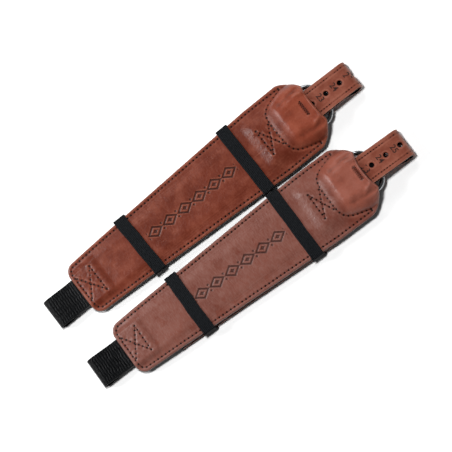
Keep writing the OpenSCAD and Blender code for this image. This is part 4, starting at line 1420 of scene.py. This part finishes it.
@dataclass(frozen=True)
class LeatherFinish:
    """Waxed pull-up leather: paler on ridges (pull-up paling and painted highlight), darker in tooled lines,
    with painted shade in hollows and needle holes.
    """

    name: str
    deep: Colour
    main: Colour
    # pale: colour for the leather's own wear and for the painted sheen and painted highlights
    pale: Colour
    # pressed: colour for the tooled lines and for painted shade in hollows and needle holes
    pressed: Colour
    mottle: float
    roughness: float
    satin: float
    gloss: float = 0.38

    def material(self) -> bpy.types.Material:
        """Mottled colour, pores, fine scratches, paler bends (pull-up paling and painted highlight), painted
        highlight on edges, painted sheen, painted shade in hollows and needle holes, and tooled lines.
        """
        n = NodeSheet(self.name)
        flat = n.uv()
        broad = n.noise(flat, 0.045, 3.0, 0.5)
        cloud = n.noise(flat, 0.011, 5.0, 0.62)
        speck = n.noise(flat, 0.0024, 3.0, 0.6)
        scratch = n.math("MAXIMUM", self.scratches(n, 0.55, 0.0021), self.scratches(n, -0.9, 0.0017))
        scratch = n.math("MAXIMUM", scratch, self.scratches(n, 0.06, 0.0026))
        mix = n.math("ADD", n.math("MULTIPLY", broad, 0.55), n.math("MULTIPLY", cloud, 0.45))
        colour = n.blend(n.span(mix, 0.36, 0.64), self.deep, self.main)
        # paling from the leather's own mottling, specks and scratches, together with painted sheen and
        # painted highlights
        wear_and_painted_light = n.math(
            "ADD",
            n.span(cloud, 0.47, 0.72, 0.0, self.mottle),
            n.span(speck, 0.5, 0.8, 0.0, self.mottle * 0.45),
        )
        wear_and_painted_light = n.math("ADD", wear_and_painted_light, n.math("MULTIPLY", scratch, 0.30))
        brushed = n.noise(n.uv(1.0, 0.22, 0.1), 0.0011, 3.0, 0.7)
        # painted sheen: a pale streaky veil for a satin reflection, broken into patches
        sheen_patches = n.span(n.noise(n.uv(1.0, 0.7, 0.5), 0.012, 4.0, 0.68), 0.55, 0.68, 1.0, 0.1)
        sheen_veil = n.math("MULTIPLY", n.span(brushed, 0.36, 0.66, 0.55, 1.4), sheen_patches)
        wear_and_painted_light = n.math("ADD", wear_and_painted_light, n.math("MULTIPLY", n.math("MULTIPLY", n.value("satin"), sheen_veil), self.satin))
        wear_and_painted_light = n.math("ADD", wear_and_painted_light, n.span(brushed, 0.5, 0.75, 0.0, 0.14))
        # paler where the relief bends outwards, partly pull-up paling and partly painted highlight, and a
        # painted highlight along the rounded edges
        wear_and_painted_light = n.math("ADD", wear_and_painted_light, n.span(n.value("tone"), 0.08, 1.0, 0.0, 0.42))
        wear_and_painted_light = n.math("ADD", wear_and_painted_light, n.math("MULTIPLY", n.value("edge"), 0.40))
        bright = tuple(c * k for c, k in zip(self.main, (1.9, 2.2, 2.4)))
        colour = n.blend(
            n.math("MULTIPLY", n.value("stretched"), n.span(cloud, 0.35, 0.65, 0.35, 0.75)), colour, bright
        )
        colour = n.blend(n.math("MINIMUM", wear_and_painted_light, 0.85), colour, self.pale)
        # painted shade in the relief's hollows and round the needle holes, together with the tooled lines
        dark = n.math(
            "ADD",
            n.span(n.value("tone"), -0.08, -1.0, 0.0, 0.5),
            n.math("MULTIPLY", n.value("needle"), 0.45),
        )
        dark = n.math("MAXIMUM", n.math("MINIMUM", dark, 0.7), n.math("MULTIPLY", n.value("tool"), 0.78))
        colour = n.blend(dark, colour, self.pressed)
        colour = n.blend(n.span(n.value("side"), 0.15, 0.45), colour, (0.002, 0.0018, 0.0018))
        pores = n.cells(flat, 0.00062)
        grain = n.noise(flat, 0.00034, 2.0, 0.5)
        normal = n.bump(n.math("MULTIPLY_ADD", grain, 0.35, pores), 0.00006)
        normal = n.bump(n.noise(flat, 0.0021, 3.0, 0.6), 0.00022, normal)
        normal = n.bump(scratch, -0.00005, normal)
        rough = n.span(mix, 0.3, 0.7, self.roughness - 0.05, self.roughness + 0.07)
        return n.finish(Base_Color=colour, Roughness=rough, Normal=normal, Specular_IOR_Level=self.gloss)

    @staticmethod
    def scratches(n: NodeSheet, turn: float, width: float) -> bpy.types.NodeSocket:
        """Sparse thin lines along one direction."""
        streaks = n.noise(n.uv(0.09, 1.0, turn), width, 2.0, 0.4)
        patches = n.span(n.noise(n.uv(1.0, 1.0, turn), 0.019, 2.0, 0.5), 0.52, 0.66)
        return n.math("MULTIPLY", n.span(streaks, 0.66, 0.74), patches)


@dataclass(frozen=True)
class WovenFinish:
    """Black woven goods: ribbed webbing, nylon or elastic."""

    name: str
    colour: Colour
    thread_highlight: Colour
    along: float
    across: float
    depth: float
    roughness: float
    gloss: float

    def material(self) -> bpy.types.Material:
        """A weave of two rows of bands, with painted highlight on its raised threads and painted shade in its
        valleys.
        """
        n = NodeSheet(self.name)
        flat = n.uv()
        warp = n.waves(flat, self.along, "X", 0.6)
        weft = n.waves(flat, self.across, "Y", 0.4)
        weave = n.math("MULTIPLY", warp, weft)
        lint = n.noise(flat, 0.0009, 3.0, 0.6)
        tint = n.math("ADD", n.math("MULTIPLY", weave, 0.7), n.span(lint, 0.4, 0.75, 0.0, 0.5))
        # painted highlight on the raised threads of the weave
        colour = n.blend(tint, self.colour, self.thread_highlight)
        # painted shade in the valleys between the ribs
        colour = n.blend(
            n.math("MINIMUM", n.value("valley"), 1.0), colour, tuple(c * 0.35 for c in self.colour)
        )
        normal = n.bump(n.math("MULTIPLY_ADD", lint, 0.3, weave), self.depth)
        return n.finish(
            Base_Color=colour, Roughness=self.roughness, Normal=normal, Specular_IOR_Level=self.gloss,
        )


@dataclass(frozen=True)
class SuedeFinish:
    """Black synthetic suede of the grip lining."""

    name: str
    colour: Colour

    def material(self) -> bpy.types.Material:
        """A soft nap with cloudy colour and fine pimples."""
        n = NodeSheet(self.name)
        flat = n.uv()
        cloud = n.noise(flat, 0.012, 4.0, 0.6)
        nap = n.noise(flat, 0.0005, 3.0, 0.7)
        colour = n.blend(n.span(cloud, 0.35, 0.7), self.colour, tuple(c * 2.1 for c in self.colour))
        normal = n.bump(nap, 0.00014, n.bump(n.cells(flat, 0.0016), -0.00012))
        return n.finish(
            Base_Color=colour, Roughness=0.93, Normal=normal, Sheen_Weight=0.35, Sheen_Roughness=0.4
        )


@dataclass(frozen=True)
class SteelFinish:
    """Polished round wire."""

    name: str
    colour: Colour

    def material(self) -> bpy.types.Material:
        """Bright metal with fine drawing marks and smears."""
        n = NodeSheet(self.name)
        solid = n.solid()
        smear = n.noise(solid, 0.006, 4.0, 0.6)
        marks = n.noise(solid, 0.0004, 3.0, 0.7)
        rough = n.span(smear, 0.3, 0.7, 0.16, 0.3)
        colour = n.blend(
            n.span(smear, 0.4, 0.75, 0.0, 0.35), self.colour, tuple(c * 0.75 for c in self.colour)
        )
        return n.finish(Base_Color=colour, Metallic=1.0, Roughness=rough, Normal=n.bump(marks, 0.00001))


@dataclass(frozen=True)
class ThreadFinish:
    """Waxed thread, and the painted shade of the needle holes."""

    name: str
    colour: Colour
    pit: Colour

    def material(self) -> bpy.types.Material:
        """Twisted strands along each stitch."""
        n = NodeSheet(self.name)
        flat = n.uv()
        twist = n.waves(n.uv(1.0, 0.6, 0.8), 0.0005, "X")
        fuzz = n.noise(flat, 0.0004, 2.0, 0.5)
        colour = n.blend(n.math("MULTIPLY", twist, 0.5), self.colour, tuple(c * 2.2 for c in self.colour))
        # painted shade: the pits in the needle holes are near black
        colour = n.blend(n.value("pit"), colour, self.pit)
        normal = n.bump(n.math("MULTIPLY_ADD", fuzz, 0.3, twist), 0.00008)
        return n.finish(Base_Color=colour, Roughness=0.62, Normal=normal, Specular_IOR_Level=0.3)


@dataclass(frozen=True)
class PaperFinish:
    """The pale sheet that the pair lies on."""

    name: str
    colour: Colour

    def material(self) -> bpy.types.Material:
        """A plain even paper with the faintest tooth."""
        n = NodeSheet(self.name)
        tooth = n.noise(n.solid(), 0.002, 2.0, 0.5)
        colour = n.blend(n.math("MULTIPLY", tooth, 0.04), self.colour, (0.8, 0.8, 0.8))
        return n.finish(
            Base_Color=colour, Roughness=0.9, Normal=n.bump(tooth, 0.00002), Specular_IOR_Level=0.1
        )


class Finishes:
    """Every material of the pair, made once."""

    def __init__(self) -> None:
        """Makes the materials."""
        left = LeatherFinish(
            "left_leather",
            deep=(0.085, 0.0136, 0.0060),
            main=(0.134, 0.0245, 0.0115),
            pale=(0.280, 0.092, 0.056),
            pressed=(0.012, 0.0045, 0.0034),
            mottle=0.26,
            roughness=0.37,
            satin=0.02,
        )
        right = LeatherFinish(
            "right_leather",
            deep=(0.104, 0.0225, 0.0130),
            main=(0.166, 0.0430, 0.0260),
            pale=(0.188, 0.083, 0.066),
            pressed=(0.015, 0.0065, 0.0052),
            mottle=0.30,
            roughness=0.36,
            satin=0.46,
        )
        self.leather = {Side.LEFT: left.material(), Side.RIGHT: right.material()}
        self.strap = LeatherFinish(
            "strap_leather",
            deep=(0.122, 0.0270, 0.0150),
            main=(0.190, 0.0500, 0.0290),
            pale=(0.330, 0.130, 0.088),
            pressed=(0.012, 0.0045, 0.0034),
            mottle=0.30,
            roughness=0.39,
            satin=0.0,
        ).material()
        self.webbing = WovenFinish(
            "ribbed_webbing",
            colour=(0.0006, 0.0007, 0.0008),
            thread_highlight=(0.0115, 0.0123, 0.0137),
            along=0.00055,
            across=0.0009,
            depth=0.00006,
            roughness=0.30,
            gloss=0.11,
        ).material()
        self.nylon = WovenFinish(
            "nylon_lining",
            colour=(0.0014, 0.0014, 0.0016),
            thread_highlight=(0.0060, 0.0060, 0.0068),
            along=0.0008,
            across=0.0008,
            depth=0.00008,
            roughness=0.6,
            gloss=0.06,
        ).material()
        self.elastic = WovenFinish(
            "woven_elastic",
            colour=(0.0002, 0.0002, 0.0003),
            thread_highlight=(0.0250, 0.0275, 0.0310),
            along=0.0010,
            across=0.0013,
            depth=0.00010,
            roughness=0.5,
            gloss=0.03,
        ).material()
        self.suede = SuedeFinish("grip_suede", (0.0038, 0.0038, 0.0042)).material()
        self.steel = SteelFinish("buckle_steel", (0.36, 0.37, 0.38)).material()
        self.thread = ThreadFinish(
            "waxed_thread", (0.095, 0.0200, 0.0115), (0.0016, 0.0014, 0.0014)
        ).material()
        self.pressed = ThreadFinish("pressed_numbers", (0.022, 0.0095, 0.0075), (0.0, 0.0, 0.0)).material()


# ---- one unit -----------------------------------------------------------------------


class RidingStrap:
    """One unit of the pair: builds every piece, dresses it and puts it on its body where it has one."""

    def __init__(self, variant: UnitVariant, sizes: UnitSizes, finishes: Finishes) -> None:
        """Keeps the unit's variant, sizes and finishes."""
        self.side = variant.side
        self.shape = UnitShape(sizes, variant)
        self.place = Placement(variant.side, sizes)
        self.finishes = finishes
        self.tag = variant.side.value

    def dress(
        self, piece: bpy.types.Object, material: bpy.types.Material, slot: str, body: str | None, *nodes: str,
    ) -> bpy.types.Object:
        """Gives a piece its material, its body and the nodes that it stands for.

        Args:
            piece: The object.
            material: Its material.
            slot: The record's material slot; not used.
            body: The body that it rides on, or None.
            nodes: The nodes that it replaces, without the unit's name.

        Returns:
            The piece.
        """
        piece.data.materials.clear()
        piece.data.materials.append(material)
        if nodes:
            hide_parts(*(f"{self.tag}_{n}" for n in nodes))
        if body:
            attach(piece, f"{self.tag}_{body}")
        log.info("%s: %d faces", piece.name, len(piece.data.polygons))
        return piece

    def row(self, x: float, z: float) -> tuple[float, float, float]:
        """A point on the unit's middle line, in the shared frame."""
        return tuple(self.place.to_row(np.array([x, 0.0, z])).tolist())

    def make(self) -> None:
        """Builds all pieces of the unit."""
        self.make_pad()
        self.make_webbing()
        self.make_strap()
        self.make_keepers()
        self.dress_buckle()

    def make_pad(self) -> None:
        """The face leather, its stitches and the grip lining."""
        panel = FacePanel(self.shape, self.place)
        face = build(f"{self.tag}_face", panel.surface(), self.place, 60.0)
        self.dress(face, self.finishes.leather[self.side], f"{self.tag}_face_leather", "pad", "face_panel")
        for name, surface in panel.stitch_pieces().items():
            piece = build(f"{self.tag}_{name}_thread", surface, self.place, 80.0)
            self.dress(piece, self.finishes.thread, f"{self.tag}_thread", "pad", name)
        lining = build(f"{self.tag}_grip_lining", GripLining(self.shape).surface(), self.place)
        tidy = bmesh.new()
        tidy.from_mesh(lining.data)
        bmesh.ops.remove_doubles(tidy, verts=tidy.verts, dist=1e-7)
        tidy.to_mesh(lining.data)
        tidy.free()
        self.dress(lining, self.finishes.suede, "grip_lining", "pad", "back_panel")

    def make_webbing(self) -> None:
        """The webbing, bent along its course."""
        webbing = Webbing(self.shape)
        piece = build(f"{self.tag}_webbing", webbing.surface(), None)
        cut(piece, build("slot_block", webbing.prong_slot(4.4), None))
        bend(piece, webbing.course(), self.place)
        self.dress(piece, self.finishes.webbing, "webbing", None, "core_webbing", "end_loop_webbing")
        x = self.shape.s.pad_start - 4.5
        z = float(self.shape.end_line(np.array(x)))
        start, end = self.row(x + 3.5, z), self.row(x - 3.5, z)
        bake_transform(piece)

    def make_strap(self) -> None:
        """The strap's two plies, bent along its seam, and its stitches and numbers."""
        strap = Strap(self.shape)
        made = []
        plies = (
            ("strap_leather", True, self.finishes.strap, f"{self.tag}_strap_leather"),
            ("strap_lining", False, self.finishes.nylon, "strap_nylon"),
        )
        for name, leather, material, finish_slot in plies:
            piece = build(f"{self.tag}_{name}", strap.ply(leather), None)
            cut(piece, build("hole_pegs", strap.cutter(leather), None))
            bend(piece, strap.course, self.place)
            ply = "leather" if leather else "lining"
            nodes = [f"strap_{part}_{ply}" for part in ("anchor", "pass", "loop", "tail")]
            made.append(self.dress(piece, material, finish_slot, None, *nodes))
        thread = build(f"{self.tag}_strap_thread", strap.stitches(), self.place, 80.0)
        made.append(
            self.dress(thread, self.finishes.thread, f"{self.tag}_thread", None, "strap_loop_stitching")
        )
        numbers = build(f"{self.tag}_strap_numbers", strap.numbers(), self.place, 30.0)
        made.append(self.dress(numbers, self.finishes.pressed, f"{self.tag}_thread", None))
        x = self.shape.flex
        z = float(self.shape.strap_top(np.array(x)))
        for piece in made:
            start, end = self.row(x - 4.0, z), self.row(x + 4.0, z)
            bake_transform(piece)

    def make_keepers(self) -> None:
        """The two elastic rings and the tacks that close them."""
        v = self.shape.v
        rings = {
            "low_band": Keeper(self.shape, v.low_band_at, (-15.0, 8.0), v.low_band_lean),
            "high_band": Keeper(self.shape, HIGH_BAND_AT, (-20.0, 5.0), 0.0),
        }
        for name, keeper in rings.items():
            ring = build(f"{self.tag}_{name}_elastic", keeper.surface(), self.place, 60.0)
            self.dress(ring, self.finishes.elastic, "elastic", name, name)
            tack = build(f"{self.tag}_{name}_tack", keeper.tack(), self.place, 80.0)
            self.dress(tack, self.finishes.thread, f"{self.tag}_thread", name, f"{name}_stitching")

    def dress_buckle(self) -> None:
        """The steel keeps its solid shape and takes the steel finish."""
        for name in ("buckle_frame", "buckle_prong"):
            node = frame["nodes"][f"{self.tag}_{name}"]
            node.data.materials.clear()
            node.data.materials.append(self.finishes.steel)


# ---- studio -------------------------------------------------------------------------


@dataclass(frozen=True)
class Studio:
    """Floor, lights and camera."""

    view_width: float = 0.3497
    lens: float = 240.0
    elevation: float = 77.0
    heading: float = -78.0
    axis_angle: float = 37.85
    aim: tuple[float, float, float] = (0.0004, 0.0000, 0.009)

    def make(self) -> None:
        """Puts the whole studio into the scene."""
        self.floor()
        self.lights()
        self.camera()

    def floor(self) -> None:
        """A wide sheet with a hair of thickness, its top on the table plane."""
        size, thick = 3.0, 0.002
        ring = np.array([[size, size], [-size, size], [-size, -size], [size, -size]])
        ends = np.stack([np.column_stack([ring, np.full(4, z)]) for z in (-thick - 1e-4, -1e-4)])
        sheet = tube(ends, ends[..., :2])
        mesh = bpy.data.meshes.new("floor")
        mesh.from_pydata(sheet.points.tolist(), [], sheet.faces)
        thing = link("floor", mesh, 30.0)
        thing.data.materials.append(PaperFinish("paper", (0.93, 0.93, 0.93)).material())

    def lights(self) -> None:
        """Wide soft boxes on both sides and above, over a pale surround."""
        world = bpy.data.worlds.new("surround")
        bpy.context.scene.world = world
        world.use_nodes = True
        back = world.node_tree.nodes["Background"]
        back.inputs["Color"].default_value = (1.0, 1.0, 1.0, 1.0)
        back.inputs["Strength"].default_value = 0.075
        boxes = (
            ("key", 98.0, 83.0, 0.20, 15.0, True, False),
            ("side", 146.0, 33.0, 0.34, 9.5, True, True),
            ("rim", 60.0, 34.0, 0.30, 2.5, True, True),
            ("sheen", 130.0, 48.0, 0.24, 3.0, False, True),
        )
        for name, azimuth, elevation, size, power, lights, shines in boxes:
            a, e = math.radians(azimuth), math.radians(elevation)
            position = 1.25 * np.array([math.cos(e) * math.cos(a), math.cos(e) * math.sin(a), math.sin(e)])
            lamp = bpy.data.lights.new(name, "AREA")
            lamp.shape = "SQUARE"
            lamp.size = size
            lamp.energy = power
            thing = bpy.data.objects.new(name, lamp)
            bpy.context.scene.collection.objects.link(thing)
            thing.visible_diffuse = lights
            thing.visible_glossy = shines
            thing.matrix_world = aimed(position, np.zeros(3))

    def camera(self) -> None:
        """A long lens nearly overhead, turned so that the pair lies along the picture's rising diagonal."""
        el, az = math.radians(self.elevation), math.radians(self.heading)
        toward = np.array([math.cos(el) * math.cos(az), math.cos(el) * math.sin(az), math.sin(el)])
        data = bpy.data.cameras.new("camera")
        data.lens = self.lens
        distance = self.view_width * self.lens / data.sensor_width
        axis = np.array([1.0, 0.0, 0.0])
        e1 = axis - (axis @ toward) * toward
        e1 /= np.linalg.norm(e1)
        e2 = np.cross(toward, e1)
        a = math.radians(self.axis_angle)
        right = math.cos(a) * e1 - math.sin(a) * e2
        up = math.sin(a) * e1 + math.cos(a) * e2
        matrix = Matrix.Identity(4)
        where = np.array(self.aim) + toward * distance
        for k, column in enumerate((right, up, toward, where)):
            for row in range(3):
                matrix[row][k] = float(column[row])
        thing = bpy.data.objects.new("camera", data)
        bpy.context.scene.collection.objects.link(thing)
        thing.matrix_world = matrix
        bpy.context.scene.camera = thing


def aimed(position: Array, target: Array) -> Matrix:
    """A matrix at a position whose -Z axis points to a target."""
    back = position - target
    back = back / np.linalg.norm(back)
    side = np.cross([0.0, 0.0, 1.0], back)
    side /= np.linalg.norm(side)
    up = np.cross(back, side)
    matrix = Matrix.Identity(4)
    for k, column in enumerate((side, up, back, position)):
        for row in range(3):
            matrix[row][k] = float(column[row])
    return matrix


def corners(box: tuple) -> list:
    """A box as plain lists of numbers."""
    return [[float(v) for v in corner] for corner in box]


def main() -> None:
    """Builds the studio and both units."""
    logging.basicConfig(level=logging.INFO, format="%(name)s %(message)s")
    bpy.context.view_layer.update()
    bpy.context.scene.view_settings.view_transform = "Standard"
    Studio().make()
    finishes = Finishes()
    sizes = UnitSizes()
    for variant in (LEFT_UNIT, RIGHT_UNIT):
        RidingStrap(variant, sizes, finishes).make()
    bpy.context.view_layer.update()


if __name__ == "__main__":
    main()
